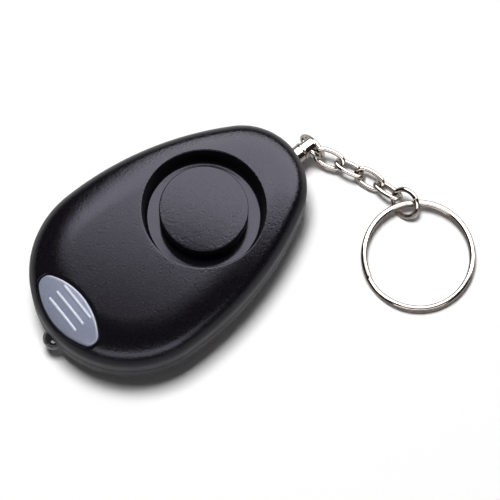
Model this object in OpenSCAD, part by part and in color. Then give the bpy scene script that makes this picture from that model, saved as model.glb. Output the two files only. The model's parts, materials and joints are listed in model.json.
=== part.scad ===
// Personal safety alarm: egg-shaped case with sounder, torch button and LED, pull pin, chain and split ring.
// +X runs along the case to the pull pin, +Z is up, and the origin lies on the underside below the sounder.

/* [Case] */
// Plan radius of the wide end
wide_r = 21.5; // [20.5:0.1:23]
// Distance from the sounder axis to the centre of the wide end
wide_x = 20; // [19:0.1:22]
// Plan radius of the narrow end
narrow_r = 14; // [13.5:0.1:16]
// Distance from the sounder axis to the centre of the narrow end
narrow_x = 10.5; // [10:0.1:13]
// Plan radius of the long sides
side_r = 71; // [66:1:90]
// Height of the case
case_h = 18.2; // [18:0.1:20]
// Height of the joint between the two halves
split_z = 10; // [9.6:0.1:10.6]
// Wall of the case
wall = 1.6; // [1.4:0.1:1.8]
// Radius of the upper edge where it meets the sides
edge_r = 4.5; // [4:0.1:5]
// Radius of the shoulder between the upper edge and the flat top
crown_r = 16; // [14:0.5:20]
// Angle that the shoulder takes up
crown_a = 25; // [20:1:28]
// Radius of the lower edge
foot_r = 6.5; // [6:0.1:6.8]
// Height of the lap that joins the halves
lap_h = 1.2; // [0.8:0.1:1.6]
// Gap between fixed pieces that are put together
fit_gap = 0.05; // [0.02:0.01:0.1]

/* [Case screws] */
// Distance of the screws from the outline
screw_in = 5; // [4.8:0.1:5.4]
// Bearing of the wide-end screws about the centre of the wide end
screw_wide_a = 104; // [98:1:112]
// Bearing of the narrow-end screws about the centre of the narrow end
screw_narrow_a = 58; // [54:1:62]
// Radius of a screw's shank
screw_r = 1; // [0.8:0.1:1.2]
// Radius of a screw's head
screw_head_r = 1.9; // [1.6:0.1:2.1]
// Height of a screw's head
screw_head_h = 1.4; // [1:0.1:1.6]
// Depth of a screw's head below the underside
screw_sink = 1.2; // [0.6:0.1:1.6]
// Length of a screw below its head
screw_l = 8.4; // [7:0.2:9]
// Wall of the bosses and pillars
boss_wall = 1.3; // [1:0.1:1.4]

/* [Sounder] */
// Radius of the rim of the well
rim_r = 13.2; // [12.6:0.1:13.4]
// How much narrower the well is at its floor
well_taper = 0.7; // [0.2:0.1:1]
// Depth of the well
well_depth = 6; // [5:0.1:6.2]
// Thickness of the well's floor
floor_t = 1.2; // [1:0.1:1.3]
// Wall round the well
well_wall = 1.2; // [0.8:0.1:1.3]
// Radius of the raised cap
cap_r = 9.55; // [9.2:0.05:10.2]
// Depth of the cap's top below the top of the case
cap_drop = 0.2; // [0:0.1:1]
// Wall of the cap
cap_wall = 1.3; // [1.2:0.1:1.6]
// Bevel on the cap's upper edge
cap_bevel = 0.3; // [0.1:0.1:0.6]
// Height of the sound windows at the foot of the cap
window_h = 2; // [1:0.1:3]
// Width of each sound window
window_w = 5; // [3:0.5:5.5]
// Radius of the pegs under the cap
peg_r = 0.5; // [0.4:0.05:0.55]
// Radius of the sound hole in the floor of the well
sound_hole_r = 7; // [5:0.2:7.5]
// Radius of the brass plate of the sounder
plate_r = 10; // [9.6:0.1:12]
// Thickness of the brass plate
plate_t = 0.3; // [0.2:0.05:0.4]
// Radius of the ceramic disc
ceramic_r = 7; // [6:0.2:8]
// Thickness of the ceramic disc
ceramic_t = 0.25; // [0.2:0.05:0.3]

/* [Torch] */
// Distance of the button's outer edge from the end of the case
button_in = 1.35; // [1.2:0.05:1.6]
// Width of the button along the case
button_w = 8.05; // [7.6:0.05:8.4]
// Radius of the button's outer edge
button_outer_r = 16; // [15:0.5:18]
// Radius of the button's inner edge
button_inner_r = 15.3; // [14.5:0.1:17]
// Radius of the button's tips
button_tip_r = 1.8; // [1.4:0.1:1.8]
// Height of the button above the case
button_rise = 0.25; // [0.1:0.05:0.5]
// Gap round the button
button_gap = 0.3; // [0.2:0.05:0.4]
// Wall of the button
button_wall = 1.2; // [1:0.1:1.5]
// Depth of the button's skirt below the top of the case
button_skirt = 4.8; // [4.4:0.1:5]
// Travel of the button
button_travel = 0.5; // [0.2:0.1:0.6]
// Radius of the button's post
post_r = 1.5; // [1.2:0.1:1.7]
// Length of the ribs on the button
rib_l = 9.3; // [8:0.1:10]
// Spacing of the ribs
rib_pitch = 2; // [1.6:0.1:2.1]
// Width of a rib
rib_w = 0.6; // [0.4:0.1:0.8]
// Height of a rib
rib_h = 0.3; // [0.15:0.05:0.4]
// Radius of the LED
led_r = 2.5; // [2.3:0.1:2.5]
// Length of the LED from its flange to its tip
led_l = 8.6; // [8.2:0.1:9]
// Radius of the LED's flange
led_flange_r = 2.9; // [2.7:0.1:2.9]
// Thickness of the LED's flange
led_flange_t = 1; // [0.8:0.1:1.2]
// Height of the LED's axis
led_z = 5.2; // [5:0.1:5.3]
// How far the LED's tip stands out of the case
led_out = 1.75; // [1.5:0.05:2.2]
// Spacing of the LED's legs
leg_pitch = 2.54; // [2.2:0.02:2.8]
// Width of a leg
leg_w = 0.5; // [0.4:0.05:0.6]

/* [Cells and board] */
// Radius of a button cell
cell_r = 5.8; // [5.6:0.05:5.9]
// Height of a button cell
cell_h = 5.4; // [5.2:0.05:5.4]
// Number of button cells
cell_count = 3; // [3:1:3]
// Gap between cells
cell_gap = 0.3; // [0.2:0.05:0.4]
// Wall of the cell compartment
rib_wall = 1; // [0.8:0.1:1.1]
// Thickness of the contact strips
strip_t = 0.25; // [0.2:0.05:0.3]
// Room for the contacts between the cells and the board
spring_h = 0.95; // [0.8:0.05:1.1]
// Thickness of the board
board_t = 1; // [0.8:0.1:1.1]
// Half the width of the board
board_half = 11; // [10.5:0.1:11.4]
// Gap between the board and the case
board_gap = 0.8; // [0.6:0.1:1]
// Gap round the battery door
door_gap = 0.15; // [0.1:0.05:0.2]
// Thickness of the door's screw ear
ear_t = 0.9; // [0.8:0.1:1]
// Length of the door's screw ear
ear_l = 4.4; // [4.2:0.1:4.6]
// Width of the door's hook and half the width of its ear
hook_w = 4; // [3:0.2:4.4]
// Thickness of the door's hook
hook_t = 0.8; // [0.6:0.1:1]
// Side of the tact switch
switch_w = 6; // [5:0.2:6]
// Height of the tact switch's body
switch_h = 3.5; // [3:0.1:3.6]
// Height of the tact switch with its plunger
switch_total = 5; // [4.6:0.1:5.2]
// Radius of the switch's plunger
plunger_r = 1.75; // [1.5:0.05:1.9]
// Radius of the step-up coil's core
coil_r = 3.5; // [3:0.1:3.7]
// Height of the step-up coil
coil_h = 5.6; // [4.5:0.1:6]
// Radius of the smoothing capacitor
cap_can_r = 2.5; // [2:0.1:2.7]
// Height of the smoothing capacitor
cap_can_h = 5.4; // [4.5:0.1:6]
// Radius of a sounder lead
lead_r = 0.35; // [0.25:0.05:0.4]

/* [Pull pin] */
// Height of the pin's axis
pin_z = 7; // [6.9:0.05:7.2]
// Radius of the pin
pin_r = 1.2; // [1.05:0.05:1.3]
// Running clearance of the pin in its bush
pin_fit = 0.05; // [0.02:0.01:0.1]
// Length of the pin inside its flange
pin_l = 14.6; // [14:0.1:14.8]
// Radius of the bush outside the case
bush_r = 1.85; // [1.75:0.05:2]
// How far the bush stands out of the case
bush_out = 2.5; // [1.9:0.1:2.7]
// Radius of the bush's flange inside the case
bush_flange_r = 2.5; // [2.3:0.1:2.5]
// Thickness of the bush's flange
bush_flange_t = 1.2; // [0.8:0.1:1.2]
// Radius of the pin's flange
flange_r = 1.9; // [1.8:0.05:2.4]
// Thickness of the pin's flange
flange_t = 0.5; // [0.4:0.1:0.8]
// Radius of the pin's head
head_r = 1.7; // [1.6:0.05:1.8]
// Length of the pin's head
head_l = 2.9; // [2.8:0.1:3.6]
// Radius of the cross hole in the head
eye_r = 0.95; // [0.9:0.05:1]
// Radius of the channel for the pin in the contact carrier
channel_r = 1.55; // [1.5:0.05:1.65]
// Wall of the contact carrier
carrier_wall = 1.3; // [1.1:0.1:1.3]
// Gap between the pin and the moving contact
leaf_gap = 0.3; // [0.25:0.05:0.4]
// Thickness of the moving contact
leaf_t = 0.3; // [0.2:0.05:0.3]
// Height of the contacts
leaf_h = 2; // [1.6:0.1:2.2]
// Length of the moving contact from its anchor
leaf_l = 9.2; // [9:0.1:9.4]
// Gap that the moving contact closes
contact_gap = 1.05; // [1:0.05:1.1]

/* [Chain] */
// Outer diameter of the jump ring in the pin's head
pin_ring_d = 7; // [6.6:0.1:8]
// Wire of the jump ring in the pin's head
pin_ring_wire = 1.1; // [0.9:0.05:1.1]
// Outer length of a link
link_l = 7.5; // [7.2:0.1:8.5]
// Outer width of a link
link_w = 4.6; // [4.5:0.1:5.2]
// Wire of a link
link_wire = 1.05; // [0.9:0.05:1.1]
// Play between two links
link_play = 0.45; // [0.35:0.05:0.6]
// Outer diameter of the jump ring at the key ring
loop_d = 7.4; // [7.2:0.1:8.2]
// Wire of the jump ring at the key ring
loop_wire = 1.1; // [0.9:0.05:1.1]
// Outer diameter of the split ring
ring_d = 25; // [20:0.5:32]
// Width of the split ring's wire
ring_wire_w = 1.25; // [1.1:0.05:1.3]
// Height of the split ring's wire
ring_wire_h = 0.83; // [0.7:0.01:0.85]
// Gap between the turns of the split ring
ring_turn_gap = 0.44; // [0.42:0.01:0.5]

/* [Hidden] */
$fn = 96;
far = 200;

// Plan outline: two end arcs and two side arcs, tangent to each other
ends_l = wide_x + narrow_x;
side_wide = side_r - wide_r;
side_narrow = side_r - narrow_r;
side_foot = (side_wide * side_wide - side_narrow * side_narrow + ends_l * ends_l) / (2 * ends_l);
side_x = side_foot - wide_x;
side_y = sqrt(side_wide * side_wide - side_foot * side_foot);
wide_a = atan2(side_y, -side_foot);
narrow_a = atan2(side_y, narrow_x - side_x);
wide_end = -wide_x - wide_r;
narrow_end = narrow_x + narrow_r;

// Edge profile: lower edge arc, upright side, upper edge arc and shoulder arc
shoulder_in = edge_r + (crown_r - edge_r) * sin(crown_a);
edge_z = case_h - crown_r + (crown_r - edge_r) * cos(crown_a);
foot_steps = 9;
edge_steps = 8;
crown_steps = 5;

// The long sides lie this much inside the ends, and run this far into them, so that the solids join
seam_step = 0.01;
seam_a = 0.2;

// Screws
boss_r = screw_r + boss_wall;
pillar_r = screw_head_r + 0.8 * boss_wall;
screw_seat_z = screw_sink + screw_head_h;
boss_z = split_z - 4;
boss_top = edge_z + sqrt(pow(edge_r, 2) - pow(edge_r - screw_in + boss_r, 2)) - 0.2;
screw_places = [
  for (m = [-1, 1]) [-wide_x + (wide_r - screw_in) * cos(screw_wide_a),
                     m * (wide_r - screw_in) * sin(screw_wide_a)],
  for (m = [-1, 1]) [narrow_x + (narrow_r - screw_in) * cos(screw_narrow_a),
                     m * (narrow_r - screw_in) * sin(screw_narrow_a)]];

// Sounder
well_z = case_h - well_depth;
cup_top = case_h - 0.6 * wall;
plate_z = well_z - floor_t - plate_t;
ceramic_z = plate_z - ceramic_t;
cap_top = case_h - cap_drop;
peg_ring_r = cap_r - cap_wall / 2;
peg_angles = [30, 150, 270];
lead_y = 2;
window_angles = [0, 60, 120, 180, 240, 300];

// Cells and board
cell_z = wall + strip_t;
board_z = cell_z + cell_h + spring_h;
board_top = board_z + board_t;
cell_pitch = 2 * cell_r + cell_gap;

// Pull pin and its switch
bush_face = narrow_end + bush_out;
bush_seat = narrow_x + sqrt(pow(narrow_r - wall, 2) - pow(bush_flange_r, 2)) - 0.25;
flange_x = bush_face + fit_gap;
head_x = flange_x + flange_t;
head_end = head_x + head_l;
eye_x = head_x + head_l / 2 - 0.2;
pin_tip = flange_x - pin_l;
carrier_x1 = bush_seat - bush_flange_t - fit_gap;
carrier_x0 = pin_tip + 0.6;
carrier_y0 = -channel_r - carrier_wall;
carrier_z0 = pin_z - channel_r - carrier_wall;
carrier_z1 = pin_z + channel_r + carrier_wall;
leaf_y = pin_r + leaf_gap;
leaf_room = 0.2;
carrier_y1 = leaf_y + leaf_t + leaf_room + carrier_wall;
leaf_anchor = carrier_x1 - 1.4;
leaf_tip = leaf_anchor - leaf_l;
tongue_x0 = leaf_tip - 0.1;
tongue_w = 0.9;

// Cell compartment, from the pin switch towards the wide end
comp_x1 = tongue_x0 - 0.2 - rib_wall;
comp_x0 = comp_x1 - cell_count * cell_pitch - 2 * cell_gap - hook_t - strip_t;
comp_half = cell_r + cell_gap;
cell_x = function(i) comp_x0 + hook_t + 2 * cell_gap + cell_r + i * cell_pitch;
ear_x = comp_x1 - door_gap;
hook_x = comp_x0 + door_gap + hook_t;
door_screw_x = ear_x + ear_l / 2 + 0.2;
door_screw_r = 0.8;
door_head_r = 1.5;
door_head_h = 0.5;
door_boss_z = carrier_z0 - 0.15;

// Torch
button_out_x = wide_end + button_in;
button_in_x = button_out_x + button_w;
button_mid_x = (button_out_x + button_in_x) / 2;
outer_c = button_out_x + button_outer_r;
inner_c = button_in_x - button_inner_r;
button_z = case_h - button_skirt;
opening_z = button_z - button_travel - 0.3;
switch_x = button_mid_x + 0.6;
plunger_z = board_top + switch_total;
rib_z = button_z + 1;
led_tip = wide_end - led_out;
led_base = led_tip + led_l;
leg_x = comp_x0 - rib_wall - 0.9;
tab_top = case_h - wall - 0.15;

// Board outline and posts
board_x0 = wide_end + wall + 1.2;
board_x1 = comp_x1 - 0.3;
board_r = wide_r - wall - board_gap;
stake_r = 0.7;
stake_seat_r = 1.4;
stake_places = [for (x = [comp_x0 - 3.2, comp_x1 - 4], m = [-1, 1]) [x, m * (board_half - 1.6)]];

// Parts on the board, behind the well
parts_x = -rim_r - well_wall;
coil_place = [parts_x - coil_r - 1.6, -coil_r - 1.6];
can_place = [parts_x - cap_can_r - 7, cap_can_r + 3.6];
chip_size = [5, 4, 1.5];
chip_place = [parts_x - chip_size.x - 0.6, 1.4];
transistor_size = [1.4, 2.9, 1.1];
transistor_place = [parts_x - transistor_size.x - 0.2, -transistor_size.y - 0.2];
resistor_size = [1.6, 0.8, 0.5];
resistor_places = [for (i = [0:3]) [-6 + 3 * i, board_half - 3]];

// Chain at rest: roll about the link, dip below the level and bearing of each piece, as it lies
pin_ring_mid = (pin_ring_d - pin_ring_wire) / 2;
pin_ring_lean = 34;
pin_ring_hook = 22;
link_poses = [[35, 10, -61], [-38, 10, -63], [36, 2, -70], [-40, -11, -77]];
loop_pose = [52, -5, -82];
loop_slack = 0.3;
loop_drop = 0.25;
ring_bearing = -116;
slit_a = 3;

function heading(p) = [cos(p[1]) * cos(p[2]), cos(p[1]) * sin(p[2]), -sin(p[1])];

pin_ring_sag = pin_ring_mid - sqrt(pin_ring_mid * pin_ring_mid - head_r * head_r);
lean_dir = [sin(pin_ring_lean), 0, -cos(pin_ring_lean)];
pin_ring_c = [eye_x, 0, pin_z] + (pin_ring_mid - pin_ring_sag / 2) * lean_dir;
hook_c = pin_ring_c + pin_ring_mid * (sin(pin_ring_hook) * lean_dir - cos(pin_ring_hook) * [0, 1, 0]);
link_half = (link_l - link_wire) / 2;
link_in = link_half - link_wire - link_play;
function link_c(i) = i == 0
  ? hook_c + heading(link_poses[0]) * (link_half - (link_wire + pin_ring_wire) / 2 - link_play)
  : link_c(i - 1) + heading(link_poses[i - 1]) * link_half + heading(link_poses[i]) * link_in;
loop_mid = (loop_d - loop_wire) / 2;
loop_c = link_c(3) + heading(link_poses[3]) * link_half
  + heading(loop_pose) * (loop_mid - (loop_wire + link_wire) / 2 - link_play);

// Split ring: a two-layer wire that steps up once and whose two ends stop at the step
ring_r = ring_d / 2;
ring_mid = ring_r - ring_wire_w / 2;
ring_pitch = ring_wire_h + ring_turn_gap;
ring_h = ring_wire_h + ring_pitch;
ring_hook = loop_c + heading(loop_pose) * loop_slack - [0, 0, loop_drop];
ring_tilt = asin((ring_hook.z - ring_h / 2) / (ring_r + ring_mid));
ring_c = ring_hook + heading([0, ring_tilt, ring_bearing]) * ring_mid;
ring_start = -18.5;
ring_steps = 24;
ring_last = ring_steps * 11 / 6;
step_from = 300;
step_to = 360;
ring_bevel = 0.25;
ring_section = [
  for (s = [[1, -1], [1, 1], [-1, 1], [-1, -1]])
    for (k = s.x * s.y > 0 ? [0, 1] : [1, 0])
      [s.x * (ring_wire_w / 2 - (k == 0 ? 0 : ring_bevel)), s.y * (ring_wire_h / 2 - (k == 0 ? ring_bevel : 0))]];
function step_share(a) = a < step_from ? 0 : a > step_to ? 1
  : (1 - cos(180 * (a - step_from) / (step_to - step_from))) / 2;
function ring_point(i, p) = let (a = i * 360 / ring_steps)
  [(ring_mid + p.x) * cos(a), (ring_mid + p.x) * sin(a), ring_pitch * (step_share(a) - 0.5) + p.y];
ring_points = [for (i = [0:ring_last]) [for (p = ring_section) ring_point(i, p)]];
ring_least_gap = min([
  for (i = [0:ring_last - 18]) for (j = [i + 18:min(i + 30, ring_last)])
    for (p = ring_points[i]) for (q = ring_points[j]) norm(p - q)]);
echo(split_ring_least_gap = ring_least_gap);

// Level slice of space between two heights
module slab(z0, z1) translate([-far, -far, z0]) cube([2 * far, 2 * far, z1 - z0]);

// Box from its low corner to its high corner
module block(low, high) translate(low) cube(high - low);

// Round bar along X
module bar_x(x0, x1, r) translate([x0, 0, 0]) rotate([0, 90, 0]) cylinder(h = x1 - x0, r = r);

// Points along an arc
function arc(c, r, from, to, steps) = [
  for (i = [0:steps]) let (a = from + (to - from) * i / steps) c + r * [cos(a), sin(a)]];

// Section of the case edge, with the outline at zero and the inside to the left
module edge_profile(inset, reach) polygon(concat(
  [[-reach, inset]],
  arc([-foot_r, foot_r], foot_r - inset, -90, 0, foot_steps),
  arc([-edge_r, edge_z], edge_r - inset, 0, 90 - crown_a, edge_steps),
  arc([-shoulder_in, case_h - crown_r], crown_r - inset, 90 - crown_a + crown_a / crown_steps, 90, crown_steps - 1),
  [[-reach, case_h - inset]]));

// Egg-shaped solid, set in from the case's surface on all sides
module pebble(inset) {
  translate([-wide_x, 0, 0])
    rotate_extrude(angle = 360 - 2 * wide_a, start = wide_a)
      translate([wide_r, 0]) edge_profile(inset, wide_r);
  translate([narrow_x, 0, 0])
    rotate_extrude(angle = 2 * narrow_a, start = -narrow_a)
      translate([narrow_r, 0]) edge_profile(inset, narrow_r);
  for (m = [0, 1]) mirror([0, m, 0]) intersection() {
    translate([side_x, -side_y, 0])
      rotate_extrude(angle = wide_a - narrow_a + 2 * seam_a, start = narrow_a - seam_a)
        translate([side_r, 0]) edge_profile(inset + seam_step, wide_r + 1);
    block([-far, 0, -far], [far, far, far]);
  }
}

// Almond outline of the torch button, grown by a margin
module almond(grow) {
  ro = button_outer_r + grow;
  ri = button_inner_r + grow;
  t = button_tip_r + grow;
  d = outer_c - inner_c;
  a = (d * d + pow(ri - t, 2) - pow(ro - t, 2)) / (2 * d);
  tip = [inner_c + a, sqrt(pow(ri - t, 2) - a * a)];
  on_in = tip + t * (tip - [inner_c, 0]) / norm(tip - [inner_c, 0]);
  on_out = tip + t * (tip - [outer_c, 0]) / norm(tip - [outer_c, 0]);
  intersection() {
    translate([outer_c, 0]) circle(ro);
    translate([inner_c, 0]) circle(ri);
    polygon([
      [far, on_in.y], on_in, on_out, [-far, on_out.y],
      [-far, -on_out.y], [on_out.x, -on_out.y], [on_in.x, -on_in.y], [far, -on_in.y]]);
  }
  for (m = [-1, 1]) translate([tip.x, m * tip.y]) circle(t - seam_step);
}

// Room inside the button: the almond's two arcs set in, with its tips cut square
module almond_core(inset) intersection() {
  translate([outer_c, 0]) circle(button_outer_r - inset);
  translate([inner_c, 0]) circle(button_inner_r - inset);
  translate([wide_end, -button_w * 0.8]) square([2 * button_w, button_w * 1.6]);
}

module almond_prism(grow, z0, z1) translate([0, 0, z0]) linear_extrude(z1 - z0) almond(grow);

module upper_case() color("#2c2b30") difference() {
  union() {
    difference() {
      intersection() {
        pebble(0);
        slab(split_z, far);
      }
      pebble(wall);
      intersection() {
        pebble(wall / 2);
        slab(split_z - 1, split_z + lap_h + fit_gap);
      }
    }
    translate([0, 0, well_z - floor_t]) cylinder(h = cup_top - well_z + floor_t, r = rim_r + well_wall);
    for (p = screw_places) translate([p.x, p.y, boss_z]) cylinder(h = boss_top - boss_z, r = boss_r);
  }
  translate([0, 0, well_z]) cylinder(h = well_depth + seam_step, r1 = rim_r - well_taper, r2 = rim_r);
  translate([0, 0, case_h]) cylinder(h = far, r = rim_r);
  translate([0, 0, plate_z]) cylinder(h = well_depth, r = sound_hole_r);
  for (a = peg_angles) rotate([0, 0, a]) translate([peg_ring_r, 0, plate_z])
    cylinder(h = well_depth, r = peg_r + fit_gap);
  almond_prism(button_gap, opening_z, far);
  for (p = screw_places) translate([p.x, p.y, 0])
    cylinder(h = screw_seat_z + screw_l + 0.4, r = screw_r + fit_gap);
}

module lower_case() color("#242327") difference() {
  union() {
    difference() {
      union() {
        intersection() {
          pebble(0);
          slab(-1, split_z);
        }
        intersection() {
          pebble(wall / 2 + fit_gap);
          slab(wall, split_z + lap_h);
        }
      }
      pebble(wall);
    }
    intersection() {
      pebble(wall / 2);
      union() {
        for (p = screw_places) translate([p.x, p.y, 0]) cylinder(h = boss_z, r = pillar_r);
        block([comp_x0 - rib_wall, -comp_half - rib_wall, 0],
              [comp_x1 + rib_wall, comp_half + rib_wall, board_z - spring_h / 2]);
        for (p = stake_places) translate([p.x, p.y, 0]) {
          cylinder(h = board_z, r = stake_seat_r);
          cylinder(h = board_top + stake_r, r = stake_r);
        }
        block([carrier_x0 + 1.6, carrier_y0, 0], [carrier_x1, carrier_y1, carrier_z0]);
        translate([door_screw_x, 0, 0]) cylinder(h = door_boss_z, r = door_screw_r + boss_wall);
      }
    }
  }
  block([comp_x0, -comp_half, -1], [comp_x1, comp_half, far]);
  block([comp_x1 - 1, -hook_w - door_gap, -1], [ear_x + ear_l + door_gap, hook_w + door_gap, ear_t]);
  block([comp_x0 - rib_wall - 1, -hook_w / 2 - door_gap, wall], [comp_x0 + 1, hook_w / 2 + door_gap, wall + 1.2]);
  translate([door_screw_x, 0, 0]) cylinder(h = door_boss_z - 0.6, r = door_screw_r + fit_gap);
  for (p = screw_places) translate([p.x, p.y, -1]) {
    cylinder(h = far, r = screw_r + 3 * fit_gap);
    cylinder(h = screw_seat_z + 1, r = screw_head_r + 4 * fit_gap);
  }
  translate([0, 0, led_z]) bar_x(wide_end - 1, led_base - led_flange_t, led_r + 2 * fit_gap);
  translate([0, 0, pin_z]) bar_x(bush_seat, far, bush_r + fit_gap);
}

// Pan-head screw seen from its seat: head below, shank above
module pan_screw(shank_r, shank_l, round_r, round_h) difference() {
  union() {
    translate([0, 0, -round_h]) cylinder(h = round_h, r = round_r);
    cylinder(h = shank_l, r = shank_r);
  }
  for (a = [0, 90]) rotate([0, 0, a])
    block([-round_r * 0.6, -round_r * 0.12, -round_h - 1], [round_r * 0.6, round_r * 0.12, -round_h * 0.5]);
}

module case_screws() color("silver")
  for (p = screw_places) translate([p.x, p.y, screw_seat_z])
    pan_screw(screw_r, screw_l, screw_head_r, screw_head_h);

module battery_door() color("#242327") difference() {
  union() {
    block([comp_x0 + door_gap, -comp_half + door_gap, 0], [ear_x, comp_half - door_gap, wall]);
    block([ear_x - 1, -hook_w, 0], [ear_x + ear_l, hook_w, ear_t - fit_gap]);
    block([comp_x0 - rib_wall - 0.4, -hook_w / 2, wall + 0.1], [hook_x, hook_w / 2, wall + 0.9]);
    block([comp_x0 + door_gap, -hook_w / 2, wall - 0.2], [hook_x, hook_w / 2, wall + 0.9]);
  }
  translate([door_screw_x, 0, -1]) cylinder(h = far, r = door_screw_r + 2 * fit_gap);
  translate([door_screw_x, 0, -1]) cylinder(h = 1 + door_head_h, r = door_head_r + 2 * fit_gap);
}

module door_screw() color("silver")
  translate([door_screw_x, 0, door_head_h])
    pan_screw(door_screw_r, door_boss_z - door_head_h - 0.9, door_head_r, door_head_h - fit_gap);

module sounder_cap() color("#333237") {
  difference() {
    union() {
      translate([0, 0, well_z]) cylinder(h = cap_top - cap_bevel - well_z, r = cap_r);
      translate([0, 0, cap_top - cap_bevel]) cylinder(h = cap_bevel, r1 = cap_r, r2 = cap_r - cap_bevel);
    }
    translate([0, 0, well_z - 1]) cylinder(h = cap_top - cap_wall - well_z + 1, r = cap_r - cap_wall);
    for (a = window_angles) rotate([0, 0, a])
      block([0, -window_w / 2, well_z - 1], [far, window_w / 2, well_z + window_h]);
  }
  for (a = peg_angles) rotate([0, 0, a]) translate([peg_ring_r, 0, well_z - floor_t + 0.1])
    cylinder(h = floor_t + window_h / 2, r = peg_r);
}

module piezo_plate() color("goldenrod") translate([0, 0, plate_z]) cylinder(h = plate_t, r = plate_r);

module piezo_ceramic() color("whitesmoke") translate([0, 0, ceramic_z]) cylinder(h = ceramic_t, r = ceramic_r);

module sounder_leads() color("firebrick")
  for (p = [[-(plate_r + ceramic_r) / 2, lead_y, plate_z], [-ceramic_r / 2, -lead_y, ceramic_z]])
    translate([p.x, p.y, board_top]) cylinder(h = p.z - board_top, r = lead_r);

module torch_button() color("#868a98") {
  difference() {
    union() {
      intersection() {
        pebble(-button_rise);
        almond_prism(0, button_z, far);
      }
      intersection() {
        pebble(-button_rise - rib_h);
        for (i = [-1:1]) {
          x = button_mid_x + 0.35 + i * rib_pitch;
          block([x - rib_w / 2, -rib_l / 2, rib_z], [x + rib_w / 2, rib_l / 2, far]);
        }
      }
      block([button_in_x - button_wall, -hook_w, tab_top - 1.2], [button_in_x + 1.6, hook_w, tab_top]);
    }
    intersection() {
      pebble(button_wall);
      translate([0, 0, -1]) linear_extrude(far) almond_core(button_wall);
    }
  }
  intersection() {
    pebble(button_wall / 2);
    translate([switch_x, 0, plunger_z]) cylinder(h = far, r = post_r);
  }
}

module switch_body() color("#1c1c1e") difference() {
  block([switch_x - switch_w / 2, -switch_w / 2, board_top],
        [switch_x + switch_w / 2, switch_w / 2, board_top + switch_h]);
  translate([switch_x, 0, board_top + 1]) cylinder(h = far, r = plunger_r + pin_fit);
}

module switch_plunger() color("white")
  translate([switch_x, 0, board_top + 1 + button_travel + 0.2])
    cylinder(h = plunger_z - board_top - 1 - button_travel - 0.2, r = plunger_r);

module torch_led() color("#b8bcc4") translate([0, 0, led_z]) difference() {
  union() {
    translate([led_tip + led_r, 0, 0]) sphere(led_r);
    bar_x(led_tip + led_r, led_base, led_r);
    bar_x(led_base - led_flange_t, led_base, led_flange_r);
  }
  block([led_base - led_flange_t - fit_gap, led_r + fit_gap, -far], [far, far, far]);
}

module led_legs() color("silver")
  for (m = [-1, 1]) translate([0, m * leg_pitch / 2, 0]) {
    block([led_base, -leg_w / 2, led_z - leg_w / 2], [leg_x + leg_w / 2, leg_w / 2, led_z + leg_w / 2]);
    block([leg_x - leg_w / 2, -leg_w / 2, led_z - leg_w / 2], [leg_x + leg_w / 2, leg_w / 2, board_top]);
  }

module circuit_board() color("#2f6b3c") translate([0, 0, board_z]) linear_extrude(board_t) difference() {
  union() {
    intersection() {
      translate([-wide_x, 0]) circle(board_r);
      translate([board_x0, -board_half]) square([-wide_x - board_x0 + 1, 2 * board_half]);
    }
    translate([-wide_x, -board_half]) square([board_x1 + wide_x, 2 * board_half]);
  }
  for (p = stake_places) translate(p) circle(stake_r + fit_gap);
  for (m = [-1, 1]) translate([leg_x - 0.3, m * leg_pitch / 2 - 0.3]) square(0.6);
}

module siren_chip() color("#151517") translate([chip_place.x, chip_place.y, board_top]) cube(chip_size);

module drive_transistor() color("#151517")
  translate([transistor_place.x, transistor_place.y, board_top]) cube(transistor_size);

module chip_resistors() color("black")
  for (p = resistor_places) translate([p.x, p.y, board_top]) cube(resistor_size);

module smoothing_capacitor() color("#3a4a7a") translate([can_place.x, can_place.y, board_top]) {
  cylinder(h = cap_can_h * 0.12, r = cap_can_r);
  cylinder(h = cap_can_h * 0.2, r = cap_can_r * 0.92);
  translate([0, 0, cap_can_h * 0.2]) cylinder(h = cap_can_h * 0.8, r = cap_can_r);
}

module boost_core() color("#3b3b3d") translate([coil_place.x, coil_place.y, board_top]) {
  cylinder(h = coil_h * 0.2, r = coil_r);
  cylinder(h = coil_h, r = coil_r * 0.45);
  translate([0, 0, coil_h * 0.8]) cylinder(h = coil_h * 0.2, r = coil_r);
}

module boost_winding() color("#b5622c")
  translate([coil_place.x, coil_place.y, board_top + coil_h * 0.2 + fit_gap])
    difference() {
      cylinder(h = coil_h * 0.6 - 2 * fit_gap, r = coil_r * 0.85);
      translate([0, 0, -1]) cylinder(h = far, r = coil_r * 0.45 + fit_gap);
    }

module button_cells() color("silver")
  for (i = [0:cell_count - 1]) translate([cell_x(i), 0, cell_z]) {
    cylinder(h = cell_h * 0.82, r = cell_r);
    cylinder(h = cell_h, r = cell_r * 0.86);
  }

module door_contact() color("khaki")
  block([cell_x(0) - cell_r / 2, -cell_r / 2, wall], [cell_x(1) + cell_r / 2, cell_r / 2, wall + strip_t]);

// Strip under the board with a pressed pad that meets the top of each cell
module board_contacts() color("khaki")
  for (s = [[0, 0], [1, cell_count - 1]]) {
    block([cell_x(s[0]) - cell_r / 2, -cell_r / 2, board_z - strip_t],
          [cell_x(s[1]) + cell_r / 2, cell_r / 2, board_z]);
    for (i = [s[0]:s[1]]) translate([cell_x(i), 0, cell_z + cell_h])
      cylinder(h = spring_h - strip_t / 2, r = cell_r / 4);
  }

module negative_contact() color("khaki") {
  x = cell_x(cell_count - 1);
  block([x - cell_r / 2, -cell_r / 4, wall], [comp_x1 - fit_gap, cell_r / 4, wall + strip_t]);
  block([comp_x1 - fit_gap - strip_t, -cell_r / 4, wall], [comp_x1 - fit_gap, cell_r / 4, board_z - strip_t]);
  block([comp_x1 - 2, -cell_r / 4, board_z - 2 * strip_t], [comp_x1 - fit_gap, cell_r / 4, board_z - strip_t]);
}

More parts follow.
